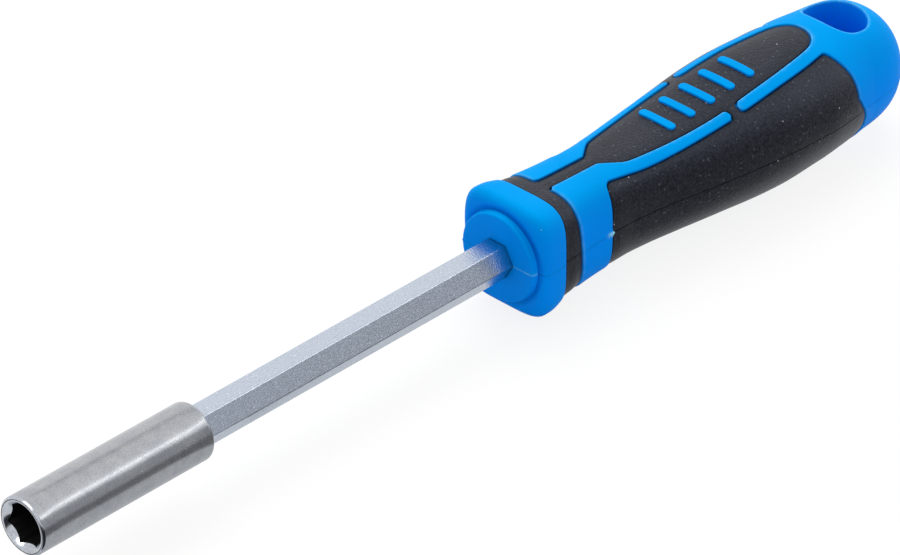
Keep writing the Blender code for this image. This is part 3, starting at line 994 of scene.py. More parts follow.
def new_material(name):
    """An empty material, its node tree and the place on the piece that its patterns follow."""
    material = bpy.data.materials.new(name)
    material.use_nodes = True
    tree = material.node_tree
    tree.nodes.clear()
    return material, tree, add(tree, "ShaderNodeTexCoord").outputs["Object"]


def per_metre(size):
    """The scale of a pattern whose grains are this many millimetres wide."""
    return 1 / (size * MM)


def speckled(tree, place, size, share, radius):
    """Scattered round specks: one cell of this size, a share of cells that have one, its radius."""
    cells = add(tree, "ShaderNodeTexVoronoi", {"Vector": place, "Scale": per_metre(size)})
    reach = {"From Min": 0.6 * radius / size, "From Max": radius / size, "To Min": 1.0, "To Max": 0.0}
    spot = add(tree, "ShaderNodeMapRange", {"Value": cells.outputs["Distance"], **reach})
    chosen = add(tree, "ShaderNodeSeparateColor", {"Color": cells.outputs["Color"]})
    few = add(tree, "ShaderNodeMath", {0: chosen, 1: share}, operation="LESS_THAN")
    return add(tree, "ShaderNodeMath", {0: spot, 1: few}, operation="MULTIPLY")


def scaled(colour, factor):
    """A linear colour made brighter or darker, at most white."""
    return tuple(min(1.0, value * factor) for value in colour)


def moulded_blue(name, colour, fresh):
    """Polypropylene from a spark-eroded mould: satin, with faint clouds 9 mm wide in its colour.

    Where it faces up it takes its colour, and elsewhere a deeper blue, as painted light and painted shade.
    Edges that face one side, the hole's rim and nibs of flash get a light painted highlight in patches 1.1 mm
    wide and are glossier there, edges that face the other way get a navy painted shade, and the gloss changes
    over 1.4 mm. The parting line is darker, a painted shade beside its ridge. The mould's grain is about
    0.05 mm and is drawn at 0.24 mm, so that it shows. Specks of dust are drawn as coarse.
    """
    material, tree, place = new_material(name)
    cloud = add(tree, "ShaderNodeTexNoise", {"Vector": place, "Scale": per_metre(9), "Detail": 3.0})
    worn = add(tree, "ShaderNodeTexNoise", {"Vector": place, "Scale": per_metre(1.1), "Detail": 2.0})
    gloss = add(tree, "ShaderNodeTexNoise", {"Vector": place, "Scale": per_metre(1.4), "Detail": 4.0})
    grain = add(tree, "ShaderNodeTexNoise", {"Vector": place, "Scale": per_metre(0.24), "Detail": 2.0})
    # Faces that turn up take the colour and the others the deeper fresh blue: painted light on the tops,
    # painted shade on the sides and undersides.
    upward = add(tree, "ShaderNodeAttribute", attribute_name="upward").outputs["Fac"]
    tint = add(tree, "ShaderNodeMix", {"Factor": upward, "A": fresh, "B": colour}, data_type="RGBA")
    shade = add(tree, "ShaderNodeMapRange", {"Value": cloud, "To Min": 0.88, "To Max": 1.12})
    tint = add(tree, "ShaderNodeVectorMath", {0: tint, "Scale": shade}, operation="SCALE")
    edge = add(tree, "ShaderNodeAttribute", attribute_name="edge").outputs["Fac"]
    patchy = add(tree, "ShaderNodeMapRange", {"Value": worn, "From Min": 0.3, "To Min": 0.1, "To Max": 0.62})
    painted_highlight = add(tree, "ShaderNodeMath", {0: edge, 1: patchy}, operation="MULTIPLY")
    painted_shade = add(tree, "ShaderNodeMath", {0: edge, 1: -0.8}, operation="MULTIPLY")
    parting = add(tree, "ShaderNodeAttribute", attribute_name="parting").outputs["Fac"]
    line = add(tree, "ShaderNodeMath", {0: parting, 1: worn}, operation="MULTIPLY")
    dust = speckled(tree, place, 2.6, 0.14, 0.13)
    # Over the tint: the edges' light painted highlight and navy painted shade, the parting line's painted
    # shade, and dust.
    for share, over in ((painted_highlight, "#9ADFFA"), (painted_shade, "#0A2A5E"), (line, "#0062BC"), (dust, "#8AD4F8")):
        tint = add(tree, "ShaderNodeMix", {"Factor": share, "A": tint, "B": linear(over)}, data_type="RGBA")
    satin = add(tree, "ShaderNodeMapRange", {"Value": gloss, "To Min": 0.42, "To Max": 0.58})
    polish = add(tree, "ShaderNodeMapRange", {"Value": edge, "From Max": 0.7})
    rough = add(tree, "ShaderNodeMapRange", {"Value": polish, "To Min": satin, "To Max": 0.16})
    bump = add(tree, "ShaderNodeBump", {"Height": grain, "Strength": 0.25, "Distance": 0.02 * MM})
    finish = {"Base Color": tint, "Roughness": rough, "Normal": bump, "IOR": 1.49}
    finish.update({"Specular IOR Level": 0.02, "Specular Tint": linear("#0A9CFF")})
    shader = add(tree, "ShaderNodeBsdfPrincipled", finish)
    add(tree, "ShaderNodeOutputMaterial", {"Surface": shader})
    return material


def soft_black(name, colour):
    """Thermoplastic rubber, moulded over the hard plastic: a fine matt grain that holds specks of dust.

    The grain is about 0.1 mm and is drawn at 0.4 mm, and dust is drawn 0.3 to 0.4 mm wide, so that they
    show. The rounded edges at the seams and the groove of the parting line are painted near black, as
    painted shade.
    """
    material, tree, place = new_material(name)
    grain = add(tree, "ShaderNodeTexNoise", {"Vector": place, "Scale": per_metre(0.4), "Detail": 3.0})
    sharp = add(tree, "ShaderNodeMapRange", {"Value": grain, "From Min": 0.38, "From Max": 0.66})
    deep, light = scaled(colour, 0.1), scaled(colour, 2.4)
    tint = add(tree, "ShaderNodeMix", {"Factor": sharp, "A": deep, "B": light}, data_type="RGBA")
    parting = add(tree, "ShaderNodeAttribute", attribute_name="parting").outputs["Fac"]
    edge = add(tree, "ShaderNodeAttribute", attribute_name="edge").outputs["Fac"]
    fine = speckled(tree, place, 0.9, 0.35, 0.2)
    dust = speckled(tree, place, 2.4, 0.35, 0.16)
    # The parting groove and the seam edges are painted near black as painted shade; the specks are dust.
    for share, over in ((parting, "#030304"), (edge, "#050507"), (fine, "#484C53"), (dust, "#A6AAAF")):
        tint = add(tree, "ShaderNodeMix", {"Factor": share, "A": tint, "B": linear(over)}, data_type="RGBA")
    rough = add(tree, "ShaderNodeMapRange", {"Value": grain, "To Min": 0.34, "To Max": 0.56})
    bump = add(tree, "ShaderNodeBump", {"Height": sharp, "Strength": 0.5, "Distance": 0.06 * MM})
    finish = {"Base Color": tint, "Roughness": rough, "Normal": bump, "IOR": 1.5}
    finish.update({"Specular Tint": linear("#D6E2FF"), "Sheen Weight": 0.03, "Sheen Roughness": 0.4})
    shader = add(tree, "ShaderNodeBsdfPrincipled", finish)
    add(tree, "ShaderNodeOutputMaterial", {"Surface": shader})
    return material


def turned_steel(name, colour):
    """Stainless steel, turned and then tumbled: faint rings round the axis under a fine grain.

    The rings are 0.25 mm apart, and clouds 2.2 mm wide are cooler and warmer. The grain of tumbled steel is
    about 0.05 mm and is drawn at 0.25 mm, so that it shows. A few cells have a glint or a pit.
    """
    material, tree, place = new_material(name)
    wide = per_metre(25 / 3)
    along = add(tree, "ShaderNodeMapping", {"Vector": place, "Scale": (per_metre(0.25), wide, wide)})
    rings = add(tree, "ShaderNodeTexNoise", {"Vector": along, "Scale": 1.0, "Detail": 2.0})
    grain = add(tree, "ShaderNodeTexNoise", {"Vector": place, "Scale": per_metre(0.25), "Detail": 3.0})
    cloud = add(tree, "ShaderNodeTexNoise", {"Vector": place, "Scale": per_metre(2.2), "Detail": 4.0})
    deep, light = scaled(colour, 0.7), scaled(colour, 1.3)
    tint = add(tree, "ShaderNodeMix", {"Factor": grain, "A": deep, "B": light}, data_type="RGBA")
    cool, warm = linear("#CFD1DA"), linear("#FFFFFC")
    patches = add(tree, "ShaderNodeMix", {"Factor": cloud, "A": cool, "B": warm}, data_type="RGBA")
    mixed = {"Factor": 1.0, "A": tint, "B": patches}
    tint = add(tree, "ShaderNodeMix", mixed, data_type="RGBA", blend_type="MULTIPLY")
    glint = speckled(tree, place, 1.5, 0.12, 0.12)
    pits = speckled(tree, place, 3.2, 0.12, 0.14)
    for share, over in ((glint, "#F6F6F8"), (pits, "#2A2B2E")):
        tint = add(tree, "ShaderNodeMix", {"Factor": share, "A": tint, "B": linear(over)}, data_type="RGBA")
    rough = add(tree, "ShaderNodeMapRange", {"Value": rings, "To Min": 0.18, "To Max": 0.32})
    both = add(tree, "ShaderNodeMath", {0: rings, 1: grain}, operation="ADD")
    bump = add(tree, "ShaderNodeBump", {"Height": both, "Strength": 0.25, "Distance": 0.02 * MM})
    around = add(tree, "ShaderNodeTangent", direction_type="RADIAL", axis="X")
    finish = {"Base Color": tint, "Roughness": rough, "Normal": bump, "Metallic": 1.0}
    finish.update({"Anisotropic": 0.5, "Anisotropic Rotation": 0.25, "Tangent": around})
    shader = add(tree, "ShaderNodeBsdfPrincipled", finish)
    add(tree, "ShaderNodeOutputMaterial", {"Surface": shader})
    return material


def one_pattern_metal(tree, pattern, colours, roughness, relief):
    """Ends a metal whose tint, gloss and relief, 0.02 mm deep, all follow one pattern."""
    deep, light = linear(colours[0]), linear(colours[1])
    tint = add(tree, "ShaderNodeMix", {"Factor": pattern, "A": deep, "B": light}, data_type="RGBA")
    gloss = {"Value": pattern, "To Min": roughness[0], "To Max": roughness[1]}
    finish = {"Base Color": tint, "Roughness": add(tree, "ShaderNodeMapRange", gloss), "Metallic": 1.0}
    if relief:
        bump = {"Height": pattern, "Strength": relief, "Distance": 0.02 * MM}
        finish["Normal"] = add(tree, "ShaderNodeBump", bump)
    shader = add(tree, "ShaderNodeBsdfPrincipled", finish)
    add(tree, "ShaderNodeOutputMaterial", {"Surface": shader})


def faced_steel(name):
    """Stainless steel, faced and countersunk on the lathe: brighter than a turned side and nearly smooth.

    Its marks are finer than 0.1 mm and are drawn as a grain of 0.35 mm, so that they show.
    """
    material, tree, place = new_material(name)
    grain = add(tree, "ShaderNodeTexNoise", {"Vector": place, "Scale": per_metre(0.35), "Detail": 3.0})
    one_pattern_metal(tree, grain, ("#8E95A0", "#D6DAE0"), (0.1, 0.2), 0.0)
    return material


def plated_steel(name, colour):
    """Drawn steel bar with a satin zinc plating, whose fine crystals glitter.

    The crystals are about 0.05 mm and are drawn at 0.3 mm, so that they show. The last 3 mm before the
    flange are tinted teal and darker: a painted reflection of the blue flange with painted shade.
    """
    material, tree, place = new_material(name)
    crystal = add(tree, "ShaderNodeTexNoise", {"Vector": place, "Scale": per_metre(0.3), "Detail": 4.0})
    deep, light = scaled(colour, 0.76), scaled(colour, 1.24)
    tint = add(tree, "ShaderNodeMix", {"Factor": crystal, "A": deep, "B": light}, data_type="RGBA")
    glint = speckled(tree, place, 0.8, 0.26, 0.14)
    # Towards the flange the bar is mixed to teal: a painted reflection of the blue flange, darker as painted
    # shade.
    along = add(tree, "ShaderNodeSeparateXYZ", {"Vector": place})
    root = ORIGIN.x + FLANGE_FRONT * MM
    flange_reflection = {"Value": along, "From Min": root - 3 * MM, "From Max": root, "To Max": 0.6}
    flange_reflection = add(tree, "ShaderNodeMapRange", flange_reflection)
    for share, over in ((glint, "#F7F9FC"), (flange_reflection, "#5CAAA2")):
        tint = add(tree, "ShaderNodeMix", {"Factor": share, "A": tint, "B": linear(over)}, data_type="RGBA")
    rough = add(tree, "ShaderNodeMapRange", {"Value": crystal, "To Min": 0.14, "To Max": 0.26})
    bump = add(tree, "ShaderNodeBump", {"Height": crystal, "Strength": 0.9, "Distance": 0.06 * MM})
    finish = {"Base Color": tint, "Roughness": rough, "Normal": bump, "Metallic": 1.0}
    shader = add(tree, "ShaderNodeBsdfPrincipled", finish)
    add(tree, "ShaderNodeOutputMaterial", {"Surface": shader})
    return material


def broached_steel(name):
    """Steel as the broach left it: scored along the axis, dull, and painted dark as shade in the socket's
    hollow.

    The scores are about 0.1 mm apart and are drawn at 0.3 mm, so that they show.
    """
    material, tree, place = new_material(name)
    fine = per_metre(0.3)
    across = add(tree, "ShaderNodeMapping", {"Vector": place, "Scale": (per_metre(5), fine, fine)})
    score = add(tree, "ShaderNodeTexNoise", {"Vector": across, "Scale": 1.0, "Detail": 2.0})
    one_pattern_metal(tree, score, ("#2A2A2C", "#4A4A4C"), (0.4, 0.65), 0.3)
    return material


def nickel_plate(name):
    """Nickel plating on a sintered magnet: bright, with a faint pebble 0.5 mm wide."""
    material, tree, place = new_material(name)
    pebble = add(tree, "ShaderNodeTexNoise", {"Vector": place, "Scale": per_metre(0.5), "Detail": 2.0})
    one_pattern_metal(tree, pebble, ("#A9A8A6", "#C9C7C2"), (0.15, 0.3), 0.2)
    return material


def seen_directly(tree):
    """One for the rays that the camera, a metal or a glass sends out, and zero for the light's own."""
    rays = add(tree, "ShaderNodeLightPath").outputs
    pair = {0: rays["Is Camera Ray"], 1: rays["Is Glossy Ray"]}
    either = add(tree, "ShaderNodeMath", pair, operation="MAXIMUM")
    return add(tree, "ShaderNodeMath", {0: either, 1: rays["Is Transmission Ray"]}, operation="MAXIMUM")


def paper_floor(name, colour):
    """Seamless paper: the eye sees it white with a faint shadow, and it throws light back as paper does."""
    material, tree, _ = new_material(name)
    matt = add(tree, "ShaderNodeBsdfDiffuse", {"Color": scaled(colour, 0.72)})
    shaded = add(tree, "ShaderNodeBsdfDiffuse", {"Color": colour})
    lit = add(tree, "ShaderNodeEmission", {"Color": colour, "Strength": 1.0})
    white = add(tree, "ShaderNodeMixShader", {0: 0.86, 1: shaded, 2: lit})
    mix = add(tree, "ShaderNodeMixShader", {0: seen_directly(tree), 1: matt, 2: white})
    add(tree, "ShaderNodeOutputMaterial", {"Surface": mix})
    return material


def grey_card(name, colour):
    """Matt card, drawn as the even tone that a polished surface shows of it."""
    material, tree, _ = new_material(name)
    tone = add(tree, "ShaderNodeEmission", {"Color": colour, "Strength": 1.0})
    add(tree, "ShaderNodeOutputMaterial", {"Surface": tone})
    return material


# Operators.


class BITDRIVER_OT_sleeve(bpy.types.Operator):
    """Make the turned steel sleeve with its hex socket"""

    bl_idname = "bit_driver.sleeve"
    bl_label = "Bit sleeve"

    def execute(self, context):
        metal = context.scene.bit_driver.metal
        turn = metal.socket_turn
        angles = turn + np.linspace(0, 2 * math.pi, SLEEVE_COLUMNS, endpoint=False)
        wall = hexagon(angles, metal.socket_flats / MM / 2, turn)
        mouth = metal.mouth_radius / MM
        chamfer, rear_radius, soft, groove, lead = 0.35, 0.8, 0.06, 0.12, 0.15
        pocket = MAGNET_RADIUS + GAP
        pocket_end = MAGNET_REAR + GAP
        bore = SPIGOT_RADIUS + GAP
        brim = SLEEVE_RADIUS - chamfer
        profile = [
            (pocket_end, pocket),
            (MAGNET_FRONT, pocket),
            (MAGNET_FRONT, wall),
            (mouth - wall + lead, wall),
            (mouth - wall, wall),
            (soft, mouth - soft),
            (0, mouth + soft),
            (0, brim - groove - soft),
            (groove, brim - 0.7 * groove - soft),
            (groove, brim - 0.3 * groove - soft),
            (0, brim - soft),
            (soft * 0.4, brim + soft * 0.4),
            (chamfer - soft, SLEEVE_RADIUS - soft * 0.6),
            (chamfer + soft, SLEEVE_RADIUS),
        ]
        length = SLEEVE_REAR - rear_radius - chamfer
        for share in np.linspace(0.1, 0.9, 9):
            profile.append((chamfer + length * share, SLEEVE_RADIUS))
        for angle in arc(0, 90):
            along = SLEEVE_REAR - rear_radius * (1 - math.sin(angle))
            profile.append((along, SLEEVE_RADIUS - rear_radius * (1 - math.cos(angle))))
        profile.extend([(SLEEVE_REAR, bore), (SPIGOT_END - GAP, bore)])
        points, faces = skin(turned_rings(profile, angles))
        finish = turned_steel("turned_stainless", metal.sleeve_colour)
        sleeve = new_piece("bit_sleeve_turned", points, faces, finish)
        sleeve.data.materials.append(broached_steel("broached_socket"))
        sleeve.data.materials.append(faced_steel("faced_stainless"))
        # Rows from the socket's foot outwards: socket, countersink and face, groove, rim of the face. The
        # socket and the groove take the dark steel, painted shade in these hollows.
        turned, broached, faced = 0, 1, 2
        rows = [*[broached] * 3, *[faced] * 4, *[broached] * 3, *[faced] * 3]
        for polygon in sleeve.data.polygons:
            row = polygon.index // len(angles)
            polygon.material_index = rows[row] if row < len(rows) else turned
        hand_over(sleeve, "bit_sleeve")
        return {"FINISHED"}


class BITDRIVER_OT_magnet(bpy.types.Operator):
    """Make the disc magnet at the foot of the socket"""

    bl_idname = "bit_driver.magnet"
    bl_label = "Bit magnet"

    def execute(self, context):
        angles = np.linspace(0, 2 * math.pi, MAGNET_COLUMNS, endpoint=False)
        edge = 0.25
        bend = [(edge * (1 - math.sin(angle)), edge * (1 - math.cos(angle))) for angle in arc(0, 90)]
        profile = [(MAGNET_FRONT + depth, MAGNET_RADIUS - inset) for depth, inset in reversed(bend)]
        profile.extend((MAGNET_REAR - depth, MAGNET_RADIUS - inset) for depth, inset in bend)
        points, faces = skin(turned_rings(profile, angles))
        magnet = new_piece("bit_magnet_disc", points, faces, nickel_plate("nickel_plated_magnet"))
        hand_over(magnet, "bit_magnet")
        return {"FINISHED"}


def shaft_ring(radius):
    """One ring of the hex bar, (across, up), with rounded edges and a fin root at both sides."""
    corner = HALF_FLATS / math.cos(math.pi / 6)
    centre = corner - radius / math.cos(math.pi / 6)
    flat = 0.07
    ring = []
    for side in range(6):
        middle = side * math.pi / 3
        for swing, back in zip(np.radians((-30, -30, -20, -10, 0, 10, 20, 30, 30)), (-flat, *[0] * 7, flat)):
            angle = middle + swing
            across = centre * math.cos(middle) + radius * math.cos(angle) - back * math.sin(angle)
            up = centre * math.sin(middle) + radius * math.sin(angle) + back * math.cos(angle)
            ring.append((across, up))
    return np.array(ring)


class BITDRIVER_OT_shaft(bpy.types.Operator):
    """Make the plated hex bar with its spigot and its fins"""

    bl_idname = "bit_driver.shaft"
    bl_label = "Hex shaft"

    def execute(self, context):
        metal = context.scene.bit_driver.metal
        radius = metal.shaft_edge_radius / MM
        bar = shaft_ring(radius)
        chamfer, lead, step = 0.25, 0.2, 0.05
        small = bar * (1 - chamfer / HALF_FLATS)
        spigot = SPIGOT_RADIUS * bar / np.linalg.norm(bar, axis=1, keepdims=True)
        fin = bar.copy()
        wing = np.stack([FIN_REACH * FIN_TIP, FIN_RISE * FIN_HALF_THICKNESS], axis=1)
        for side, sign in ((0, 1), (3, -1)):
            start = side * len(wing)
            fin[start : start + len(wing)] = sign * wing
        shoulder = SLEEVE_REAR + GAP
        fin_start = COLLAR_FACE + FIN_AT
        fin_end = fin_start + FIN_LENGTH
        runs = [(SPIGOT_END, spigot * 0.92), (SPIGOT_END + lead, spigot), (shoulder, spigot)]
        runs.extend([(shoulder, small), (shoulder + chamfer, bar)])
        for share in np.linspace(0.04, 0.98, 24):
            runs.append((shoulder + (fin_start - shoulder) * share, bar))
        runs.extend([(fin_start - step, bar), (fin_start, fin), (fin_end, fin), (fin_end + step, bar)])
        runs.extend([(SHAFT_END - chamfer, bar), (SHAFT_END, small)])
        rings = [np.column_stack([np.full(len(ring), along), ring]) for along, ring in runs]
        points, faces = skin(rings)
        finish = plated_steel("satin_plated_bar", metal.shaft_colour)
        shaft = new_piece("hex_shaft_bar", points, faces, finish, 40.0)
        hand_over(shaft, "hex_shaft")
        return {"FINISHED"}


class BITDRIVER_OT_core(bpy.types.Operator):
    """Make the inner core with the round flange in front of the collar"""

    bl_idname = "bit_driver.core"
    bl_label = "Inner core"

    def execute(self, context):
        plastic = context.scene.bit_driver.plastic
        # Columns are close beside the parting line, on both sides, and even from there on.
        close = np.radians([0.6, 1.4, 2.6])
        even = np.radians(np.arange(5, 180, 2.5))
        half = np.concatenate([[0.0], close, even, math.pi - close[::-1]])
        angles = np.concatenate([half, math.pi + half])
        from_side = np.minimum(np.remainder(angles, math.pi), np.remainder(-angles, math.pi))
        ridge_width, snug, loose, clear = 0.015, 0.04, 0.08, 0.05
        ridge = np.exp(-((from_side / ridge_width) ** 2))
        shaft = hexagon(angles, HALF_FLATS + snug, 0.0)
        lip = hexagon(angles, HALF_FLATS + loose, 0.0)
        fin_room = FIN_TIP + GAP
        fin_start = COLLAR_FACE + FIN_AT - GAP
        fin_end = fin_start + FIN_LENGTH + 2 * GAP
        neck, bulb = BORE_RADIUS - GAP, BULB_RADIUS - GAP
        back = COLLAR_FACE - clear
        edge, draft, raised = 0.4, 0.12, 1.2 * plastic.parting_height / MM
        profile = [(SHAFT_END + GAP, shaft), (fin_end, shaft), (fin_end, fin_room), (fin_start, fin_room)]
        profile.extend([(fin_start, shaft), (FLANGE_FRONT + loose, shaft)])
        hidden = len(profile)
        reach = FLANGE_RADIUS - draft - edge
        for share in np.linspace(0, 1, 7):
            profile.append((FLANGE_FRONT + raised * (1 - ridge), lip + (reach - lip) * share))
        for angle in arc(0, 90)[1:]:
            along = FLANGE_FRONT + raised * (1 - ridge) + edge * (1 - math.cos(angle))
            profile.append((along, reach + edge * math.sin(angle) + 2.5 * raised * ridge * math.sin(angle)))
        foot = back - FLANGE_FRONT - edge - raised
        for share in np.linspace(0, 1, 5)[1:]:
            along = FLANGE_FRONT + raised + edge + foot * share
            profile.append((along, reach + edge + draft * share**3 + raised * ridge * (1 - share)))
        profile.extend([(back, neck), (COLLAR_FACE + BULB_FRONT - BULB_CONE + GAP, neck)])
        profile.append((COLLAR_FACE + BULB_FRONT + GAP, bulb))
        profile.extend([(CORE_END - BULB_CONE, bulb), (CORE_END, neck)])
        points, faces = skin(turned_rings(profile, angles))
        finish = moulded_blue("blue_core_plastic", plastic.blue, plastic.shaded_blue)
        core = new_piece("inner_core_moulding", points, faces, finish)
        shown = np.repeat(np.arange(len(profile)) >= hidden, len(angles))
        near_side = np.tile(np.cos(angles) < 0, len(profile))
        line = shown * np.tile(ridge, len(profile))
        # Along the parting ridge on the flange: a painted highlight on the near half and a darker blue
        # painted shade on the far half.
        marks = np.zeros((len(points), 2))
        marks[: len(line)] = np.stack([line * ~near_side, 1.3 * line * near_side], axis=1)
        add_marks(core, marks)
        hand_over(core, "inner_core")
        return {"FINISHED"}


class BITDRIVER_OT_shell(bpy.types.Operator):
    """Make the hard blue shell of the handle with its hanging hole"""

    bl_idname = "bit_driver.shell"
    bl_label = "Handle shell"

    def execute(self, context):
        plastic = context.scene.bit_driver.plastic
        points, faces, marks = hard_shell_mesh(plastic)
        finish = moulded_blue("blue_handle_plastic", plastic.blue, plastic.shaded_blue)
        shell = new_piece("handle_shell_moulding", points, faces, finish, 50.0)
        add_marks(shell, marks)
        hand_over(shell, "handle_shell")
        return {"FINISHED"}


class BITDRIVER_OT_grip(bpy.types.Operator):
    """Make the soft black grip that lies in the shell"""

    bl_idname = "bit_driver.grip"
    bl_label = "Soft grip"

    def execute(self, context):
        plastic = context.scene.bit_driver.plastic
        points, faces, marks = soft_grip_mesh(plastic)
        finish = soft_black("black_soft_plastic", plastic.black)
        grip = new_piece("soft_grip_overmould", points, faces, finish, 50.0)
        add_marks(grip, marks)
        hand_over(grip, "soft_grip")
        return {"FINISHED"}


def rib_tree(finish):
    """Geometry nodes that set copies of a rib in a row and let them down onto a surface."""
    tree = bpy.data.node_groups.new("ribs_on_panel", "GeometryNodeTree")
    face = tree.interface
    inputs = {"Geometry": "Geometry", "Panel": "Object", "Count": "Int", "Pitch": "Float", "Middle": "Float"}
    for name, kind in inputs.items():
        face.new_socket(name, in_out="INPUT", socket_type="NodeSocket" + kind)
    face.new_socket("Geometry", in_out="OUTPUT", socket_type="NodeSocketGeometry")
    given = add(tree, "NodeGroupInput").outputs
    gaps = add(tree, "ShaderNodeMath", {0: given["Count"], 1: 1.0}, operation="SUBTRACT")
    span = add(tree, "ShaderNodeMath", {0: gaps, 1: given["Pitch"]}, operation="MULTIPLY")
    half = add(tree, "ShaderNodeMath", {0: span, 1: 0.5}, operation="MULTIPLY")
    first = add(tree, "ShaderNodeMath", {0: given["Middle"], 1: half}, operation="SUBTRACT")
    row = {"Count": given["Count"], "Start Location": add(tree, "ShaderNodeCombineXYZ", {"X": first})}
    row["Offset"] = add(tree, "ShaderNodeCombineXYZ", {"X": given["Pitch"]})
    line = add(tree, "GeometryNodeMeshLine", row)
    copies = add(tree, "GeometryNodeInstanceOnPoints", {"Points": line, "Instance": given["Geometry"]})
    real = add(tree, "GeometryNodeRealizeInstances", {"Geometry": copies})
    panel = add(tree, "GeometryNodeObjectInfo", {"Object": given["Panel"]}, transform_space="RELATIVE")
    here = add(tree, "GeometryNodeInputPosition")
    parts = add(tree, "ShaderNodeSeparateXYZ", {"Vector": here}).outputs
    above = add(tree, "ShaderNodeCombineXYZ", {"X": parts["X"], "Y": parts["Y"], "Z": 1.0})
    down = {"Source Position": above, "Ray Direction": (0.0, 0.0, -1.0), "Ray Length": 2.0}
    ray = add(tree, "GeometryNodeRaycast", {"Target Geometry": panel.outputs["Geometry"], **down})
    hit = add(tree, "ShaderNodeSeparateXYZ", {"Vector": ray.outputs["Hit Position"]})
    lift = add(tree, "ShaderNodeCombineXYZ", {"Z": hit.outputs["Z"]})
    laid = add(tree, "GeometryNodeSetPosition", {"Geometry": real, "Offset": lift})
    painted = add(tree, "GeometryNodeSetMaterial", {"Geometry": laid, "Material": finish})
    add(tree, "NodeGroupOutput", {"Geometry": painted})
    return tree


def rib_mesh(ribs):
    """One rib in millimetres round (0, 0, 0), its foot sunk below the surface that it will stand on."""
    wide, tall = ribs.width / MM / 2, ribs.length / MM / 2
    height, sink, edge, corner = ribs.height / MM, 0.3, 0.16, 0.7
    straight = tall - corner
    first = -straight - corner * np.cos(arc(8, 90, 7))
    last = straight + corner * np.sin(arc(0, 82, 7))
    places = np.concatenate([first, np.linspace(-1, 1, RIB_ROWS) * straight, last])
    places = np.unique(np.round(places, 4))
    rings = []
    for y in places:
        beyond = max(0.0, abs(y) - straight)
        half = wide - corner + math.sqrt(max(0.0, corner**2 - beyond**2)) if beyond else wide
        near_end = max(0.0, abs(y) - (tall - edge))
        top = height - (edge - math.sqrt(max(0.0, edge**2 - near_end**2)))
        half = max(half, wide - corner + 0.05)
        ring = [(x, y, top) for x in np.linspace(0, half - edge, 4)]
        for angle in arc(0, 90)[1:]:
            ring.append((half - edge + edge * math.sin(angle), y, top - edge + edge * math.cos(angle)))
        ring.extend([(half, y, -sink), (0, y, -sink)])
        other = [(-x, y, z) for x, y, z in reversed(ring[1:-1])]
        rings.append(np.array([*ring, *other]))
    return skin(rings)


class BITDRIVER_OT_ribs(bpy.types.Operator):
    """Make the cross ribs that stand on the top panel"""

    bl_idname = "bit_driver.ribs"
    bl_label = "Panel ribs"

    def execute(self, context):
        settings = context.scene.bit_driver
        finish = moulded_blue("blue_rib_plastic", settings.plastic.blue, settings.plastic.shaded_blue)
        points, faces = rib_mesh(settings.ribs)
        ribs = new_piece("panel_ribs", points, faces, finish)
        ribs.data.transform(Matrix.Translation(-ORIGIN))
        tree = rib_tree(finish)
        modifier = ribs.modifiers.new("ribs on panel", "NODES")
        modifier.node_group = tree
        values = {
            "Panel": bpy.data.objects["soft_grip_overmould"],
            "Count": settings.ribs.count,
            "Pitch": settings.ribs.pitch,
            "Middle": ORIGIN.x + (COLLAR_FACE + at(RIBS_AT)) * MM,
        }
        for socket in tree.interface.items_tree:
            if socket.in_out == "INPUT" and socket.name in values:
                modifier[socket.identifier] = values[socket.name]
        context.view_layer.update()
        made = bpy.data.meshes.new_from_object(ribs.evaluated_get(context.evaluated_depsgraph_get()))
        ribs.modifiers.clear()
        ribs.data = made
        made.shade_smooth()
        made.set_sharp_from_angle(angle=math.radians(50))
        add_marks(ribs, np.zeros((len(made.vertices), 2)))
        hand_over(ribs, "handle_shell")
        return {"FINISHED"}


def new_lamp(name, place, target, size, power):
    """A soft box that looks at a target, with its two sizes in metres and its power in watts."""
    lamp = bpy.data.lights.new(name, "AREA")
    lamp.shape = "RECTANGLE"
    lamp.size, lamp.size_y = size
    lamp.energy = power
    holder = bpy.data.objects.new(name, lamp)
    holder.location = place
    holder.rotation_euler = (Vector(target) - Vector(place)).to_track_quat("-Z", "Y").to_euler()
    bpy.context.scene.collection.objects.link(holder)
    return holder


def light_only(lamp, name, pieces):
    """Lets a lamp light some pieces only, as a lamp with flags round it does."""
    lit = bpy.data.collections.new(name)
    for piece in pieces:
        lit.objects.link(bpy.data.objects[piece])
    lamp.light_linking.receiver_collection = lit


def new_sheet(name, corners, finish):
    """A flat piece of the stage with these corners."""
    mesh = bpy.data.meshes.new(name)
    mesh.from_pydata(corners, [], [tuple(range(len(corners)))])
    mesh.materials.append(finish)
    sheet = bpy.data.objects.new(name, mesh)
    bpy.context.scene.collection.objects.link(sheet)
    return sheet


def flag(name, corners, colour):
    """A grey card that only reflections see: it throws no light and no shadow."""
    sheet = new_sheet(name, corners, grey_card("grey_" + name, linear(colour)))
    sheet.visible_camera = False
    sheet.visible_diffuse = False
    sheet.visible_shadow = False


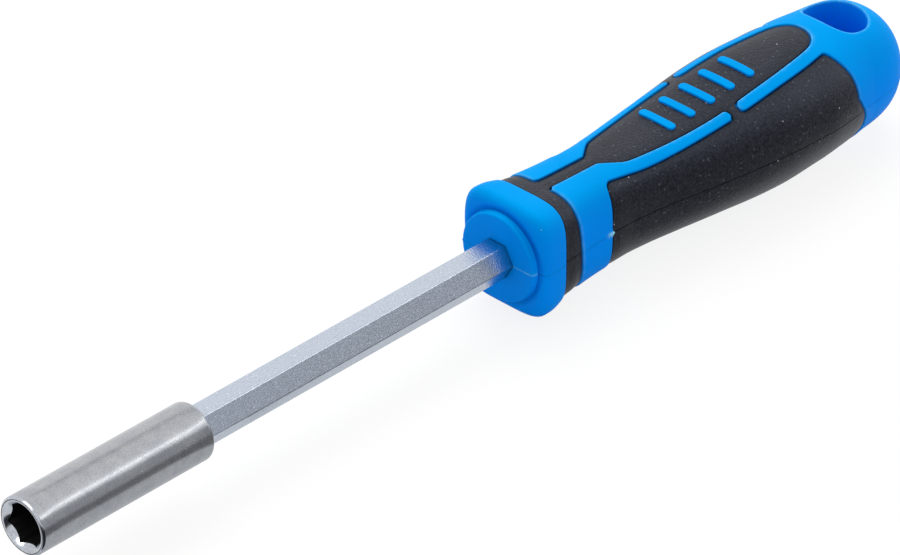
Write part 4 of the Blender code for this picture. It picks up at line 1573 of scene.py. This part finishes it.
class BITDRIVER_OT_stage(bpy.types.Operator):
    """Set up the floor, the lamps and the camera"""

    bl_idname = "bit_driver.stage"
    bl_label = "Studio"

    def execute(self, context):
        stage = context.scene.bit_driver.stage
        scene = context.scene
        scene.view_settings.view_transform = "Standard"

        half = 3.0
        corners = [(-half, -half, 0), (half, -half, 0), (half, half, 0), (-half, half, 0)]
        new_sheet("floor", corners, paper_floor("white_paper", stage.floor_colour))

        # Cards that the tool mirrors: on the floor beside it, under the steel and in front of the sleeve,
        # upright on the near side in two tones, and overhead. Those on the floor meet before the sleeve.
        far, left, turn, end, top, lift, meet = -0.42, -0.6, 0.29, 0.45, 0.28, 0.0005, -0.098
        below = 0.6 * lift
        near = [(end, -0.065), (0.013, -0.0095), (-0.045, -0.002), (-0.05, -0.025), (meet, -0.025)]
        under = [(meet, -0.026, below), (0.02, -0.026, below), (0.02, 0.012, below), (meet, 0.012, below)]
        front = [(-0.5, -0.4, lift), (meet, -0.4, lift), (meet, -0.004, lift), (-0.5, -0.004, lift)]
        lying = [(meet, far, lift), (end, far, lift), *((along, across, lift) for along, across in near)]
        standing = [(left, far, 0), (turn, far, 0), (turn, far, top), (left, far, top)]
        beside = [(turn, far, 0), (end, far, 0), (end, far, top), (turn, far, top)]
        hanging = [(0.44, 0.65, 0.74), (1.0, -0.02, 0.74), (1.0, -0.02, 0.87), (0.44, 0.65, 0.87)]
        flag("card_lying", lying, "#828285")
        flag("card_standing", standing, "#BDBFC2")
        flag("card_beside", beside, "#86888C")
        flag("card_hanging", hanging, "#7C7E84")
        flag("card_under", under, "#D6D8DA")
        flag("card_front", front, "#303236")

        world = bpy.data.worlds.new("studio")
        scene.world = world
        world.use_nodes = True
        tree = world.node_tree
        tree.nodes.clear()
        dim = add(tree, "ShaderNodeBackground", {"Color": (1, 1, 1), "Strength": 0.74})
        white = add(tree, "ShaderNodeBackground", {"Color": (1, 1, 1), "Strength": 1.0})
        mix = add(tree, "ShaderNodeMixShader", {0: seen_directly(tree), 1: dim, 2: white})
        add(tree, "ShaderNodeOutputWorld", {"Surface": mix})

        middle = (0.0, 0.0, 0.011)
        key = new_lamp("key_box", (0.4, 0.5, 0.95), middle, (0.9, 0.9), 8.5)
        key.visible_glossy = False
        rear = new_lamp("rear_box", (0.9, -0.5, 0.4), middle, (0.6, 0.6), 0.8)
        light_only(rear, "plastic", ("inner_core_moulding", "handle_shell_moulding", "soft_grip_overmould"))
        side = new_lamp("side_strip", (0.48, -0.52, 0.59), middle, (1.1, 0.075), 0.63)
        light_only(side, "steel", ("bit_sleeve_turned", "hex_shaft_bar"))
        mouth = (-0.095, 0, 0.011)
        facing = new_lamp("front_box", (-0.63, 0.176, 0.571), mouth, (0.45, 0.45), 2.0)
        light_only(facing, "sleeve", ("bit_sleeve_turned",))

        azimuth, elevation = stage.camera_azimuth, stage.camera_elevation
        right = Vector((math.cos(azimuth), math.sin(azimuth), 0))
        back = Vector(
            (
                math.sin(azimuth) * math.cos(elevation),
                -math.cos(azimuth) * math.cos(elevation),
                math.sin(elevation),
            )
        )
        up = back.cross(right)
        turned = Matrix.Rotation(stage.camera_roll, 3, back)
        lens = bpy.data.cameras.new("camera")
        lens.lens = stage.camera_lens
        lens.sensor_width = 36.0
        lens.clip_start, lens.clip_end = 0.05, 20.0
        camera = bpy.data.objects.new("camera", lens)
        target, aside, down = Vector((0.00265, 0, 0.01135)), 0.005055, 0.00172
        camera.location = target - right * aside - up * down + back * stage.camera_distance
        camera.rotation_euler = (turned @ Matrix((right, up, back)).transposed()).to_euler()
        scene.collection.objects.link(camera)
        scene.camera = camera
        return {"FINISHED"}


class BITDRIVER_PT_tool(bpy.types.Panel):
    """Lists the pieces of the tool and their settings"""

    bl_idname = "BITDRIVER_PT_tool"
    bl_label = "Bit driver"
    bl_space_type = "VIEW_3D"
    bl_region_type = "UI"
    bl_category = "Bit driver"

    def draw(self, context):
        for operator in OPERATORS:
            self.layout.operator(operator.bl_idname)
        settings = context.scene.bit_driver
        for group in (settings.plastic, settings.ribs, settings.metal, settings.stage):
            box = self.layout.box()
            for name in group.__annotations__:
                box.prop(group, name)


OPERATORS = (
    BITDRIVER_OT_sleeve,
    BITDRIVER_OT_magnet,
    BITDRIVER_OT_shaft,
    BITDRIVER_OT_core,
    BITDRIVER_OT_shell,
    BITDRIVER_OT_grip,
    BITDRIVER_OT_ribs,
    BITDRIVER_OT_stage,
)
GROUPS = (PlasticSettings, RibSettings, MetalSettings, StageSettings, BitDriverSettings)


def register():
    for group in (*GROUPS, *OPERATORS, BITDRIVER_PT_tool):
        bpy.utils.register_class(group)
    bpy.types.Scene.bit_driver = PointerProperty(type=BitDriverSettings)


def unregister():
    del bpy.types.Scene.bit_driver
    for group in reversed((*GROUPS, *OPERATORS, BITDRIVER_PT_tool)):
        bpy.utils.unregister_class(group)


def main():
    """Builds all pieces and the stage."""
    register()
    bpy.ops.bit_driver.sleeve()
    bpy.ops.bit_driver.magnet()
    bpy.ops.bit_driver.shaft()
    bpy.ops.bit_driver.core()
    bpy.ops.bit_driver.shell()
    bpy.ops.bit_driver.grip()
    bpy.ops.bit_driver.ribs()
    bpy.ops.bit_driver.stage()


if __name__ == "__main__":
    main()
